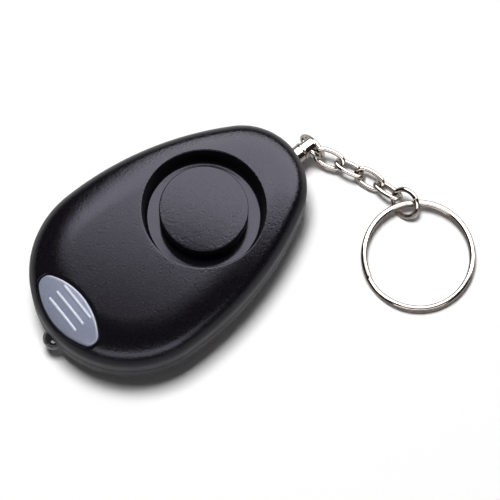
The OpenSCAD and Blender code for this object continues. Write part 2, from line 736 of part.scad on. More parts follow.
module pin_bush() color("gainsboro") translate([0, 0, pin_z]) difference() {
  union() {
    bar_x(bush_seat - bush_flange_t, bush_seat, bush_flange_r);
    bar_x(bush_seat - bush_flange_t, bush_face, bush_r);
  }
  bar_x(-far, far, pin_r + pin_fit);
}

module contact_carrier() color("#1c1c1e") difference() {
  block([carrier_x0, carrier_y0, carrier_z0], [carrier_x1, carrier_y1, carrier_z1]);
  translate([0, 0, pin_z]) bar_x(carrier_x0 - 1, carrier_x1 + 1, channel_r);
  block([carrier_x0 - 1, 0, pin_z - leaf_h / 2 - leaf_room],
        [leaf_anchor + 0.9 + leaf_room, leaf_y + leaf_t + leaf_room, pin_z + leaf_h / 2 + leaf_room]);
}

module fixed_contact() color("khaki") {
  y1 = leaf_y - contact_gap;
  block([tongue_x0, y1 - leaf_t, pin_z - leaf_h / 2], [tongue_x0 + tongue_w, y1, board_top + leaf_t]);
  block([board_x1 - 2.4, y1 - leaf_t - 1, board_top], [tongue_x0 + tongue_w, y1, board_top + leaf_t]);
}

module moving_contact() color("khaki") {
  block([leaf_tip, leaf_y, pin_z - leaf_h / 2], [leaf_anchor + 0.9, leaf_y + leaf_t, pin_z + leaf_h / 2]);
  translate([leaf_anchor, leaf_y + leaf_t / 2, pin_z - leaf_h / 2]) cylinder(h = leaf_h, r = leaf_t * 0.55);
}

module pull_pin() color("gainsboro") translate([0, 0, pin_z]) difference() {
  union() {
    translate([pin_tip + pin_r, 0, 0]) sphere(pin_r);
    bar_x(pin_tip + pin_r, flange_x + flange_t, pin_r);
    bar_x(flange_x, head_x, flange_r);
    bar_x(head_x - flange_t / 2, head_end - 0.3, head_r);
    translate([head_end - 0.3, 0, 0]) rotate([0, 90, 0]) cylinder(h = 0.3, r1 = head_r, r2 = head_r - 0.3);
  }
  translate([eye_x, -far, 0]) rotate([-90, 0, 0]) cylinder(h = 2 * far, r = eye_r);
}

// Part of a round wire ring about Z
module wire_ring(mid_r, d, from, turn)
  rotate_extrude(angle = turn, start = from) translate([mid_r, 0]) circle(d / 2);

// Oval link with its length along X
module oval_link() {
  mid_r = (link_w - link_wire) / 2;
  straight = link_half - mid_r;
  for (s = [0, 1]) mirror([s, 0, 0]) translate([straight, 0, 0]) wire_ring(mid_r, link_wire, -90, 180);
  for (s = [-1, 1]) translate([0, s * mid_r, 0]) bar_x(-straight, straight, link_wire / 2);
}

module pin_ring() color("gainsboro")
  translate(pin_ring_c) rotate([0, 90 - pin_ring_lean, 0])
    wire_ring(pin_ring_mid, pin_ring_wire, 60 + slit_a / 2, 360 - slit_a);

module chain_link(i) color("gainsboro") translate(link_c(i)) rotate(link_poses[i]) oval_link();

module chain_link_1() chain_link(0);
module chain_link_2() chain_link(1);
module chain_link_3() chain_link(2);
module chain_link_4() chain_link(3);

module key_loop() color("gainsboro")
  translate(loop_c) rotate(loop_pose) wire_ring(loop_mid, loop_wire, 60 + slit_a / 2, 360 - slit_a);

module split_ring() color("gainsboro") {
  n = len(ring_section);
  translate(ring_c) rotate([0, ring_tilt, ring_bearing]) rotate([0, 0, ring_start])
    polyhedron(
      points = [for (section = ring_points) for (p = section) p],
      faces = concat(
        [for (i = [0:ring_last - 1]) for (k = [0:n - 1]) let (m = (k + 1) % n)
          each [[i * n + k, (i + 1) * n + m, i * n + m], [i * n + k, (i + 1) * n + k, (i + 1) * n + m]]],
        [for (k = [1:n - 2]) [0, k, k + 1]],
        [for (k = [1:n - 2]) [ring_last * n, ring_last * n + k + 1, ring_last * n + k]]));
}

upper_case();
lower_case();
case_screws();
battery_door();
door_screw();
sounder_cap();
piezo_plate();
piezo_ceramic();
sounder_leads();
torch_button();
switch_body();
switch_plunger();
torch_led();
led_legs();
circuit_board();
siren_chip();
drive_transistor();
chip_resistors();
smoothing_capacitor();
boost_core();
boost_winding();
button_cells();
door_contact();
board_contacts();
negative_contact();
pin_bush();
contact_carrier();
fixed_contact();
moving_contact();
pull_pin();
pin_ring();
chain_link_1();
chain_link_2();
chain_link_3();
chain_link_4();
key_loop();
split_ring();
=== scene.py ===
import json
import math
from functools import partial

import bmesh
import bpy
import numpy as np
from mathutils import Matrix, Vector


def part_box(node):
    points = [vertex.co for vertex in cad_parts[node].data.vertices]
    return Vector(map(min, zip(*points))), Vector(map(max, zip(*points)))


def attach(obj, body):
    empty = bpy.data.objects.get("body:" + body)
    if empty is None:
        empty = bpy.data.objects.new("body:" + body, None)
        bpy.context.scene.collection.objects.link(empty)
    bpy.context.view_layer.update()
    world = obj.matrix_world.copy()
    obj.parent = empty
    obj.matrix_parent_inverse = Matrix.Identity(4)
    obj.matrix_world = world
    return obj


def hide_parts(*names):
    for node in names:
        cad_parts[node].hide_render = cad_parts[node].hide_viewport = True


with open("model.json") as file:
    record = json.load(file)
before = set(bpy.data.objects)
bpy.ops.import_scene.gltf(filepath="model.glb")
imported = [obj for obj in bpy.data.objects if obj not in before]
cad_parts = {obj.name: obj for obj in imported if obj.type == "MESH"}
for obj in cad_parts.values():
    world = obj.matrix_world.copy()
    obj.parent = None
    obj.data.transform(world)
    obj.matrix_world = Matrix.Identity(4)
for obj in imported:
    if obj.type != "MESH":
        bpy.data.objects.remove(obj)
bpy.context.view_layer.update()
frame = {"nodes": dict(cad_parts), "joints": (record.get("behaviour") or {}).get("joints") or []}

# The camera stands 600 mm off on the torch's side and looks down at 72 degrees through a long lens.
# The picture is square, and its middle lies just beside the sounder.
CAMERA_PLACE = (-0.11117, -0.14451, 0.57163)
CAMERA_AIM = (0.00568, -0.00911, 0.0)
CAMERA_ROLL = math.radians(2.63)
camera_data = bpy.data.cameras.new("camera")
camera_data.sensor_width = 36
camera_data.lens = 197
camera = bpy.data.objects.new("camera", camera_data)
bpy.context.scene.collection.objects.link(camera)
look = Vector(CAMERA_AIM) - Vector(CAMERA_PLACE)
level_turn = look.to_track_quat("-Z", "Y").to_matrix().to_4x4()
camera.matrix_world = Matrix.Translation(CAMERA_PLACE) @ level_turn @ Matrix.Rotation(CAMERA_ROLL, 4, "Z")
bpy.context.scene.camera = camera
bpy.context.scene.view_settings.view_transform = "Standard"

# The alarm lies on a sheet of matt white paper that runs far past the picture on all sides.
# The sheet lies a hair below the underside, so that the two surfaces don't meet.
FLOOR_SIDE = 6.0
FLOOR_DROP = 0.00002
floor_mesh = bpy.data.meshes.new("floor")
half = FLOOR_SIDE / 2
floor_corners = ((-half, -half), (half, -half), (half, half), (-half, half))
floor_mesh.from_pydata([(x, y, -FLOOR_DROP) for x, y in floor_corners], [], [(0, 1, 2, 3)])
floor = bpy.data.objects.new("floor", floor_mesh)
bpy.context.scene.collection.objects.link(floor)
paper = bpy.data.materials.new("white_paper")
paper.use_nodes = True
paper_shader = paper.node_tree.nodes["Principled BSDF"]
paper_shader.inputs["Base Color"].default_value = (0.97, 0.97, 0.97, 1)
paper_shader.inputs["Roughness"].default_value = 0.9
paper_shader.inputs["Specular IOR Level"].default_value = 0.1
floor_mesh.materials.append(paper)

# A soft box almost overhead lights the table and throws a short shadow to the near side. A bank that leans over
# from behind, a low strip in front and a small card over the key ring only show as sheen on glossy surfaces.
# The room round them is dim.
def soft_box(name, place, aim, width, height, power, in_gloss):
    """Oblong lamp at a place, turned to face the aim. It shows in glossy surfaces or else lights matt ones."""
    lamp = bpy.data.lights.new(name, "AREA")
    lamp.shape = "RECTANGLE"
    lamp.size = width
    lamp.size_y = height
    lamp.energy = power
    box = bpy.data.objects.new(name, lamp)
    bpy.context.scene.collection.objects.link(box)
    facing = Vector(aim) - Vector(place)
    box.matrix_world = Matrix.Translation(place) @ facing.to_track_quat("-Z", "Y").to_matrix().to_4x4()
    box.visible_camera = False
    box.visible_glossy = in_gloss
    box.visible_diffuse = not in_gloss


soft_box("key_box", (0.025, 0.18, 1.08), (0, 0, 0), 0.30, 0.30, 12.2, False)
soft_box("sheen_bank", (0.099, 0.023, 0.103), (0.063, -0.006, 0.015), 0.26, 0.148, 1.48, True)
soft_box("front_strip", (-0.159, -0.256, 0.210), (-0.010, -0.030, 0.015), 0.50, 0.18, 1.80, True)
soft_box("ring_card", (0.070, 0.000, 0.300), (0.033, -0.033, 0.000), 0.08, 0.08, 0.06, True)
world = bpy.data.worlds.new("room")
bpy.context.scene.world = world
world.use_nodes = True
world.node_tree.nodes["Background"].inputs["Color"].default_value = (0.06, 0.057, 0.056, 1)

# Lower case: the black moulded half below the joint, with a round lower edge and a flat underside.
# It is injection moulded with a spark-eroded grain, and carries the LED, the bush, the cells and the board.
# Its steep sides are more matt than its level faces.
MM = 0.001
WIDE_R = 21.5
WIDE_X = 20
NARROW_R = 14
NARROW_X = 10.5
SIDE_R = 71
CASE_H = 18.2
SPLIT_Z = 10
SPLIT_ROUND = 0.22
WALL = 1.6
FOOT_R = 6.5
LAP_H = 1.2
LAP_GAP = 0.05
SIDE_ROWS = (9.2, 8.3, 7.4)
LINING_Z = 8.5
COLUMNS = 600
SHARP_EDGE = 35
ends_l = WIDE_X + NARROW_X
side_foot = ((SIDE_R - WIDE_R) ** 2 - (SIDE_R - NARROW_R) ** 2 + ends_l ** 2) / (2 * ends_l)
side_x = side_foot - WIDE_X
side_y = math.sqrt((SIDE_R - WIDE_R) ** 2 - side_foot ** 2)
wide_turn = math.atan2(side_y, -side_foot)
narrow_turn = math.atan2(side_y, NARROW_X - side_x)


def outline_bearings(count):
    """Bearings of the outward normal at even steps along the outline, which is four tangent arcs."""
    turns = np.array([-narrow_turn, narrow_turn, wide_turn, 2 * np.pi - wide_turn, 2 * np.pi - narrow_turn])
    radii = np.array([NARROW_R, SIDE_R, WIDE_R, SIDE_R])
    run = np.concatenate([[0], np.cumsum(np.diff(turns) * radii)])
    return np.interp(np.arange(count) / count * run[-1], run, turns)


def edge_rows(inward, height):
    """Grid of points: each row is the outline moved inward along its normals, at one height.
    Every arc of the outline keeps its centre and loses the inward distance from its radius."""
    bearing = outline_bearings(COLUMNS)
    turn = np.abs((bearing + np.pi) % (2 * np.pi) - np.pi)
    narrow = turn <= narrow_turn
    wide = turn >= wide_turn
    x = np.where(narrow, NARROW_X, np.where(wide, -WIDE_X, side_x))
    y = np.where(narrow | wide, 0, -np.sign(np.sin(bearing)) * side_y)
    r = np.where(narrow, NARROW_R, np.where(wide, WIDE_R, SIDE_R))
    reach = r - np.asarray(inward, float)[:, None]
    z = np.asarray(height, float)[:, None] + 0 * reach
    return np.stack([x + reach * np.cos(bearing), y + reach * np.sin(bearing), z], -1)


def plan_rows(outer, radius, steps):
    """Level rows on straight rays from the points of one row in to a circle round the sounder's axis."""
    ray = outer[:, :2] / np.linalg.norm(outer[:, :2], axis=1)[:, None]
    share = np.linspace(0, 1, steps + 1)[1:, None, None]
    plan = outer[None, :, :2] * (1 - share) + ray[None] * radius * share
    return np.concatenate([plan, np.broadcast_to(outer[None, :, 2:], plan.shape[:2] + (1,))], -1)


def arc_steps(start, end, steps):
    """Cosines and sines at even steps from one angle to another, in degrees."""
    turn = np.radians(np.linspace(start, end, steps + 1))
    return np.cos(turn), np.sin(turn)


def strip(a, b):
    """Triangles between two closed rows of point numbers of the same length."""
    return np.concatenate([
        np.stack([a, np.roll(a, -1), np.roll(b, -1)], -1),
        np.stack([a, np.roll(b, -1), b], -1)])


def skin(rows):
    """Points and triangles of a grid whose rows each close on themselves."""
    count, columns = rows.shape[:2]
    numbers = np.arange(count * columns).reshape(count, columns)
    faces = np.concatenate([strip(numbers[i], numbers[i + 1]) for i in range(count - 1)])
    return rows.reshape(-1, 3), faces


def cut(points, faces, keep, settle=None):
    """Cuts a mesh where keep(points) changes sign and drops the negative side.
    Each edge that crosses gets a point there, found by halving. Also returns the edges of the new rim."""
    sign = keep(points)
    sign = np.where(np.abs(sign) < 1e-6, 1e-6, sign)
    inside = sign[faces] > 0
    count = inside.sum(1)
    first = np.where(count == 1, inside.argmax(1), (~inside).argmax(1))
    turned = np.take_along_axis(faces, (first[:, None] + np.arange(3)) % 3, 1)
    one = turned[count == 1]
    two = turned[count == 2]
    crossing = np.concatenate([one[:, [0, 1]], one[:, [0, 2]], two[:, [0, 1]], two[:, [0, 2]]])
    pairs, place = np.unique(np.sort(crossing, 1), axis=0, return_inverse=True)
    place = place.ravel() + len(points)
    low, high = points[pairs[:, 0]], points[pairs[:, 1]]
    near, far = np.zeros(len(pairs)), np.ones(len(pairs))
    for _ in range(24):
        share = (near + far) / 2
        same = keep(low + (high - low) * share[:, None]) * sign[pairs[:, 0]] > 0
        near = np.where(same, share, near)
        far = np.where(same, far, share)
    fresh = low + (high - low) * near[:, None]
    if settle is not None:
        fresh = settle(fresh)
    n, m = len(one), len(two)
    a, b = place[:n], place[n:2 * n]
    c, d = place[2 * n:2 * n + m], place[2 * n + m:]
    kept = np.concatenate([
        faces[count == 3],
        np.stack([one[:, 0], a, b], -1),
        np.stack([c, two[:, 1], two[:, 2]], -1),
        np.stack([c, two[:, 2], d], -1)])
    rim = np.concatenate([np.stack([a, b], -1), np.stack([d, c], -1)])
    return np.concatenate([points, fresh]), kept, rim


def carry_rim(points, faces, rim, rows, close=False):
    """Carries the rim of a cut on through rows of points, given in the order of the rim's point numbers.
    With close, the last row meets in one point at its middle. Also returns the last rim."""
    place = np.unique(rim, return_inverse=True)[1].reshape(rim.shape)
    for row in rows:
        after = place + len(points)
        points = np.concatenate([points, row])
        faces = np.concatenate([
            faces,
            np.stack([rim[:, 1], rim[:, 0], after[:, 0]], -1),
            np.stack([rim[:, 1], after[:, 0], after[:, 1]], -1)])
        rim = after
    if close:
        points = np.concatenate([points, rows[-1].mean(0)[None]])
        middle = np.full(len(rim), len(points) - 1)
        faces = np.concatenate([faces, np.stack([rim[:, 1], rim[:, 0], middle], -1)])
    return points, faces, rim


def band(points, rim_a, rim_b, bearing):
    """Triangles that join two rims, zipped in the order of their bearings round a common axis."""
    a, b = np.unique(rim_a), np.unique(rim_b)
    turn_a, turn_b = bearing(points[a]), bearing(points[b])
    a, turn_a = a[np.argsort(turn_a)], np.sort(turn_a)
    b, turn_b = b[np.argsort(turn_b)], np.sort(turn_b)
    at_b = (np.searchsorted(turn_b, np.roll(turn_a, -1), side="right") - 1) % len(b)
    at_a = (np.searchsorted(turn_a, np.roll(turn_b, -1), side="left") - 1) % len(a)
    return np.concatenate([
        np.stack([a, np.roll(a, -1), b[at_b]], -1),
        np.stack([np.roll(b, -1), b, a[at_a]], -1)])


def add_piece(name, points, faces, finish, slot, body, *nodes):
    """Piece from points in millimetres that rides on a body and stands for the nodes it names."""
    used, place = np.unique(faces, return_inverse=True)
    mesh = bpy.data.meshes.new(name)
    mesh.from_pydata((points[used] * MM).tolist(), [], place.reshape(faces.shape).tolist())
    shape = bmesh.new()
    shape.from_mesh(mesh)
    bmesh.ops.recalc_face_normals(shape, faces=shape.faces)
    shape.to_mesh(mesh)
    shape.free()
    mesh.polygons.foreach_set("use_smooth", np.ones(len(mesh.polygons), bool))
    mesh.set_sharp_from_angle(angle=math.radians(SHARP_EDGE))
    mesh.materials.append(finish)
    piece = bpy.data.objects.new(name, mesh)
    bpy.context.scene.collection.objects.link(piece)
    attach(piece, body)
    if nodes:
        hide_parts(*nodes)
    return piece


def grained_plastic(name, dark, light, roughness, grain, depth):
    """Moulded plastic: fine noise on Object coordinates gives specks of tone and the grain's relief,
    and a wider noise makes the gloss uneven."""
    finish = bpy.data.materials.new(name)
    finish.use_nodes = True
    nodes, links = finish.node_tree.nodes, finish.node_tree.links
    shader = nodes["Principled BSDF"]
    place = nodes.new("ShaderNodeTexCoord")
    speck = nodes.new("ShaderNodeTexNoise")
    speck.inputs["Scale"].default_value = grain
    speck.inputs["Detail"].default_value = 3
    speck.inputs["Roughness"].default_value = 0.6
    links.new(place.outputs["Object"], speck.inputs["Vector"])
    tone = nodes.new("ShaderNodeValToRGB")
    tone.color_ramp.elements[0].position = 0.35
    tone.color_ramp.elements[0].color = (*dark, 1)
    tone.color_ramp.elements[1].position = 0.72
    tone.color_ramp.elements[1].color = (*light, 1)
    links.new(speck.outputs["Fac"], tone.inputs["Fac"])
    links.new(tone.outputs["Color"], shader.inputs["Base Color"])
    cloud = nodes.new("ShaderNodeTexNoise")
    cloud.inputs["Scale"].default_value = grain / 9
    cloud.inputs["Detail"].default_value = 2
    links.new(place.outputs["Object"], cloud.inputs["Vector"])
    gloss = nodes.new("ShaderNodeMapRange")
    gloss.inputs["To Min"].default_value = roughness - 0.06
    gloss.inputs["To Max"].default_value = roughness + 0.06
    links.new(cloud.outputs["Fac"], gloss.inputs["Value"])
    links.new(gloss.outputs["Result"], shader.inputs["Roughness"])
    bump = nodes.new("ShaderNodeBump")
    bump.inputs["Strength"].default_value = 1
    bump.inputs["Distance"].default_value = depth
    links.new(speck.outputs["Fac"], bump.inputs["Height"])
    links.new(bump.outputs["Normal"], shader.inputs["Normal"])
    return finish


def reckon(finish, operation, *values):
    """One step of arithmetic on sockets and numbers, in a finish."""
    step = finish.node_tree.nodes.new("ShaderNodeMath")
    step.operation = operation
    for socket, value in zip(step.inputs, values):
        if isinstance(value, bpy.types.NodeSocket):
            finish.node_tree.links.new(value, socket)
        else:
            socket.default_value = value
    return step.outputs["Value"]


def span(finish, a, b):
    """Length of the long side over two square sides, in a finish."""
    squares = [reckon(finish, "MULTIPLY", side, side) for side in (a, b)]
    return reckon(finish, "SQRT", reckon(finish, "ADD", *squares))


def fade(finish, value, none, full, kind="LINEAR"):
    """Mask in a finish that runs from 0 at one value to 1 at another."""
    mask = finish.node_tree.nodes.new("ShaderNodeMapRange")
    mask.interpolation_type = kind
    mask.inputs["From Min"].default_value = none
    mask.inputs["From Max"].default_value = full
    finish.node_tree.links.new(value, mask.inputs["Value"])
    return mask.outputs["Result"]


def axes(finish, source, output):
    """X, Y and Z of the vector that a new node of a finish gives."""
    nodes, links = finish.node_tree.nodes, finish.node_tree.links
    parted = nodes.new("ShaderNodeSeparateXYZ")
    links.new(nodes.new(source).outputs[output], parted.inputs["Vector"])
    return [parted.outputs[axis] for axis in "XYZ"]


SIDE_MATT = 0.35
LEVEL_Z = 0.75
STEEP_Z = 0.35
case_finish = grained_plastic(
    "case_plastic", (0.003, 0.0026, 0.0038), (0.008, 0.0072, 0.0095), 0.13, 2300, 0.00006)
case_shader = case_finish.node_tree.nodes["Principled BSDF"]
case_shader.inputs["Specular IOR Level"].default_value = 0.15
case_shader.inputs["Specular Tint"].default_value = (0.85, 0.82, 1.0, 1)
upward = axes(case_finish, "ShaderNodeNewGeometry", "Normal")[2]
on_sides = reckon(case_finish, "MULTIPLY", fade(case_finish, upward, LEVEL_Z, STEEP_Z), SIDE_MATT)
all_over = case_shader.inputs["Roughness"].links[0].from_socket
case_finish.node_tree.links.new(
    reckon(case_finish, "ADD", all_over, on_sides), case_shader.inputs["Roughness"])

foot_cos, foot_sin = arc_steps(0, -90, 16)
split_cos, split_sin = arc_steps(90, 0, 4)
BOTTOM_CIRCLE = 3
foot_in_r = FOOT_R - WALL
shell = edge_rows(
    np.concatenate([SPLIT_ROUND * (1 - split_cos), [0, 0, 0], FOOT_R * (1 - foot_cos)]),
    np.concatenate([SPLIT_Z - SPLIT_ROUND * (1 - split_sin), SIDE_ROWS, FOOT_R * (1 + foot_sin)]))
lower_outer = np.concatenate([shell, plan_rows(shell[-1], BOTTOM_CIRCLE, 30)])
lap_in = WALL / 2 + LAP_GAP
lap_z = SPLIT_Z + LAP_H
lining = edge_rows(
    np.concatenate([FOOT_R - foot_in_r * foot_cos[::-1], [WALL, WALL, lap_in, lap_in]]),
    np.concatenate([FOOT_R + foot_in_r * foot_sin[::-1], [LINING_Z, lap_z, lap_z, SPLIT_Z]]))
lower_inner = np.concatenate([plan_rows(lining[0], BOTTOM_CIRCLE, 20)[::-1], lining])
outer = skin(lower_outer)
inner = skin(lower_inner)
rims = []

LED_Z = 5.2
LED_HOLE_R = 2.6
PIN_Z = 7
BUSH_HOLE_R = 1.9
ENDS_FROM_X = 15


def open_both(keep, bearing):
    """Cuts one opening through both skins and notes the two rims, to be joined by its wall."""
    global outer, inner
    *outer, rim = cut(*outer, keep)
    *inner, rim_in = cut(*inner, keep)
    rims.append((rim, rim_in, bearing))


for side, height, radius in ((-1, LED_Z, LED_HOLE_R), (1, PIN_Z, BUSH_HOLE_R)):
    def beside_hole(p):
        """Signed distance outside a round hole along X in one end of the case."""
        return np.where(p[:, 0] * side > ENDS_FROM_X, np.hypot(p[:, 1], p[:, 2] - height) - radius, radius)

    open_both(beside_hole, lambda p, height=height: np.arctan2(p[:, 2] - height, p[:, 1]))

door_low, door_high = (np.array(corner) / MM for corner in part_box("battery_door"))
DOOR_GAP = 0.15
DOOR_ROUND = 0.5
EAR_HALF = 4
EAR_LENGTH = 4.4
HOOK_REACH = 1.55
ear_x = door_high[0] - EAR_LENGTH
door_x = (door_low[0] + door_high[0]) / 2


def beside_box(p, low, high, radius):
    """Signed distance in plan outside a rectangle with round corners."""
    far = np.abs(p[:, :2] - (np.array(low) + high) / 2) - ((np.array(high) - low) / 2 - radius)
    return np.linalg.norm(np.maximum(far, 0), axis=1) + np.minimum(far.max(1), 0) - radius


def beside_door(p, grow):
    """Signed distance in plan outside the battery door, a rectangle with an ear, grown by a margin."""
    main = beside_box(p, (door_low[0] + HOOK_REACH - grow, door_low[1] - grow),
                      (ear_x + grow, door_high[1] + grow), DOOR_ROUND)
    ear = beside_box(p, (ear_x - 2, -EAR_HALF - grow), (door_high[0] + grow, EAR_HALF + grow), DOOR_ROUND)
    return np.minimum(main, ear)


def door_opening(p):
    """Signed distance outside the door's opening, for points on the underside."""
    return np.where(p[:, 2] < FOOT_R / 2, beside_door(p, DOOR_GAP), 1)


open_both(door_opening, lambda p: np.arctan2(p[:, 1], p[:, 0] - door_x))

SCREW_IN = 5
SCREW_SEAT = 2.6
SCREW_RECESS_R = 2.1
PILLAR_R = 2.94
PILLAR_TOP = 6
SCREW_WIDE_TURN = math.radians(104)
SCREW_NARROW_TURN = math.radians(58)
screw_places = [
    (x + (r - SCREW_IN) * math.cos(turn), side * (r - SCREW_IN) * math.sin(turn))
    for x, r, turn in ((-WIDE_X, WIDE_R, SCREW_WIDE_TURN), (NARROW_X, NARROW_R, SCREW_NARROW_TURN))
    for side in (-1, 1)]


def sink_pocket(mesh, x, y, radius, top):
    """Cuts an upright round pocket into one skin and closes it with a level end."""
    def beside(p):
        return np.where(p[:, 2] < top, np.hypot(p[:, 0] - x, p[:, 1] - y) - radius, radius)
    points, faces, rim = cut(*mesh, beside)
    end = points[np.unique(rim)] * (1, 1, 0) + (0, 0, top)
    return carry_rim(points, faces, rim, [end], close=True)[:2]


for x, y in screw_places:
    outer = sink_pocket(outer, x, y, SCREW_RECESS_R, SCREW_SEAT)
    inner = sink_pocket(inner, x, y, PILLAR_R, PILLAR_TOP)


def close_shell(outer, inner, rims, seams):
    """One closed mesh from an outer and an inner skin: bands join the rims of the openings,
    and strips join the pairs of rows in seams, given as the first point of a row of each skin."""
    first = len(outer[0])
    points = np.concatenate([outer[0], inner[0]])
    row = np.arange(COLUMNS)
    parts = [outer[1], inner[1] + first]
    parts += [band(points, rim, rim_in + first, bearing) for rim, rim_in, bearing in rims]
    parts += [strip(row + a, row + first + b) for a, b in seams]
    return points, np.concatenate(parts)


add_piece("lower_case", *close_shell(outer, inner, rims, [(0, (len(lower_inner) - 1) * COLUMNS)]),
          case_finish, "case_plastic", "case", "lower_case")

# Battery door and screws: the door is the same black moulding, let into the underside and held by one screw.
# Four zinc-plated screws in round recesses hold the two halves of the case together.
def bright_metal(name, colour, roughness, streak):
    """Plated wire and turned metal: a mirror whose tone and gloss waver a little in fine marks."""
    finish = bpy.data.materials.new(name)
    finish.use_nodes = True
    nodes, links = finish.node_tree.nodes, finish.node_tree.links
    shader = nodes["Principled BSDF"]
    shader.inputs["Metallic"].default_value = 1
    place = nodes.new("ShaderNodeTexCoord")
    mark = nodes.new("ShaderNodeTexNoise")
    mark.inputs["Scale"].default_value = streak
    mark.inputs["Detail"].default_value = 4
    links.new(place.outputs["Object"], mark.inputs["Vector"])
    tone = nodes.new("ShaderNodeValToRGB")
    tone.color_ramp.elements[0].position = 0.3
    tone.color_ramp.elements[0].color = (*[c * 0.88 for c in colour], 1)
    tone.color_ramp.elements[1].position = 0.6
    tone.color_ramp.elements[1].color = (*colour, 1)
    links.new(mark.outputs["Fac"], tone.inputs["Fac"])
    links.new(tone.outputs["Color"], shader.inputs["Base Color"])
    gloss = nodes.new("ShaderNodeMapRange")
    gloss.inputs["To Min"].default_value = roughness * 0.6
    gloss.inputs["To Max"].default_value = roughness * 1.5
    links.new(mark.outputs["Fac"], gloss.inputs["Value"])
    links.new(gloss.outputs["Result"], shader.inputs["Roughness"])
    return finish


def refinish(finish, *names):
    """Gives nodes whose shape is kept a new finish on their material slots."""
    for name in names:
        for place in frame["nodes"][name].material_slots:
            place.material = finish


screw_finish = bright_metal("screw_steel", (0.60, 0.60, 0.61), 0.30, 700)
refinish(case_finish, "battery_door")
refinish(screw_finish, "case_screws", "door_screw")

# Cells and contacts: three plated button cells stand in a row over the door, and spring sheet joins them
# in series to the board.
cell_finish = bright_metal("cell_steel", (0.72, 0.72, 0.71), 0.26, 450)
contact_finish = bright_metal("contact_spring", (0.70, 0.66, 0.52), 0.30, 600)
refinish(cell_finish, "button_cells")
refinish(contact_finish, "door_contact", "board_contacts", "negative_contact")

# Circuit board: green solder mask over glass cloth, with the siren's chip, transistor, resistors and capacitor,
# and the ferrite core and copper winding that step the voltage up.
board_finish = grained_plastic("board_green", (0.036, 0.19, 0.065), (0.062, 0.29, 0.105), 0.32, 900, 0.000006)
black_finish = grained_plastic(
    "black_plastic", (0.014, 0.014, 0.014), (0.027, 0.027, 0.027), 0.52, 3000, 0.00001)
can_finish = grained_plastic("can_blue", (0.05, 0.085, 0.26), (0.07, 0.115, 0.34), 0.28, 1200, 0.000004)
ferrite_finish = grained_plastic("ferrite", (0.042, 0.042, 0.042), (0.082, 0.081, 0.079), 0.60, 3800, 0.00002)
copper_finish = bright_metal("copper_wire", (0.60, 0.27, 0.10), 0.30, 1500)
refinish(board_finish, "circuit_board")
refinish(black_finish, "siren_chip", "drive_transistor", "chip_resistors")
refinish(can_finish, "smoothing_capacitor")
refinish(ferrite_finish, "boost_core")
refinish(copper_finish, "boost_winding")

# Sounder: a brass disc with a fired ceramic layer, below the floor of the well, and its two red leads.
brass_finish = bright_metal("brass_sheet", (0.75, 0.58, 0.25), 0.30, 500)
ceramic_finish = grained_plastic("ceramic_white", (0.74, 0.73, 0.70), (0.84, 0.83, 0.80), 0.42, 1800, 0.000006)
lead_finish = grained_plastic("lead_red", (0.52, 0.04, 0.04), (0.64, 0.06, 0.055), 0.45, 1400, 0.000006)
refinish(brass_finish, "piezo_plate")
refinish(ceramic_finish, "piezo_ceramic")
refinish(lead_finish, "sounder_leads")

# Upper case: the black moulded half above the joint, with a soft upper edge and a flat crown.
# The sounder's well and the opening of the torch button are moulded into it; the well is smooth, without grain.
EDGE_R = 4.5
CROWN_R = 16
CROWN_TURN = 25
RIM_R = 13.2
RIM_ROUND = 0.3
WELL_Z = 12.2
WELL_TAPER = 0.7
WELL_FILLET = 0.5
WELL_STEPS = (0.15, 0.4, 0.65, 0.85)
GRAIN_FADE = 0.4
SKIRT_ROWS = (11, 11.8)
FLOOR_T = 1.2
CUP_WALL = 1.2
SOUND_HOLE_R = 7
OPENING_Z = 12.6
BUTTON_GAP = 0.3
LIP_W = 0.4
shoulder_in = EDGE_R + (CROWN_R - EDGE_R) * math.sin(math.radians(CROWN_TURN))
edge_z = CASE_H - CROWN_R + (CROWN_R - EDGE_R) * math.cos(math.radians(CROWN_TURN))


def inward(p):
    """How far points lie inside the outline, in plan, measured square to the nearest of its arcs."""
    x, y = p[..., 0], np.abs(p[..., 1])
    narrow = np.arctan2(y, x - NARROW_X) <= narrow_turn
    wide = np.arctan2(y, x + WIDE_X) >= wide_turn
    along_side = SIDE_R - np.hypot(x - side_x, y + side_y)
    return np.where(narrow, NARROW_R - np.hypot(x - NARROW_X, y),
                    np.where(wide, WIDE_R - np.hypot(x + WIDE_X, y), along_side))


def top_height(p, rise=0):
    """Height of the top over points in plan: edge arc, shoulder arc and flat, raised square to the surface."""
    deep = np.minimum(inward(p), shoulder_in)
    edge = edge_z + np.sqrt(np.maximum((EDGE_R + rise) ** 2 - (EDGE_R - deep) ** 2, 0))
    crown = CASE_H - CROWN_R + np.sqrt((CROWN_R + rise) ** 2 - (shoulder_in - deep) ** 2)
    return np.where(deep < EDGE_R - (EDGE_R + rise) * math.sin(math.radians(CROWN_TURN)), edge, crown)


def on_top(p, rise=0):
    """Points moved up or down onto the top."""
    return np.concatenate([p[..., :2], top_height(p, rise)[..., None]], -1)


def ring_rows(like, radius, height):
    """Rows of circles round the sounder's axis, on the rays of a given row; heights may differ along a row."""
    ray = like[:, :2] / np.linalg.norm(like[:, :2], axis=1)[:, None]
    rows = [np.concatenate([ray * r, np.broadcast_to(z, len(ray))[:, None]], 1) for r, z in zip(radius, height)]
    return np.array(rows)


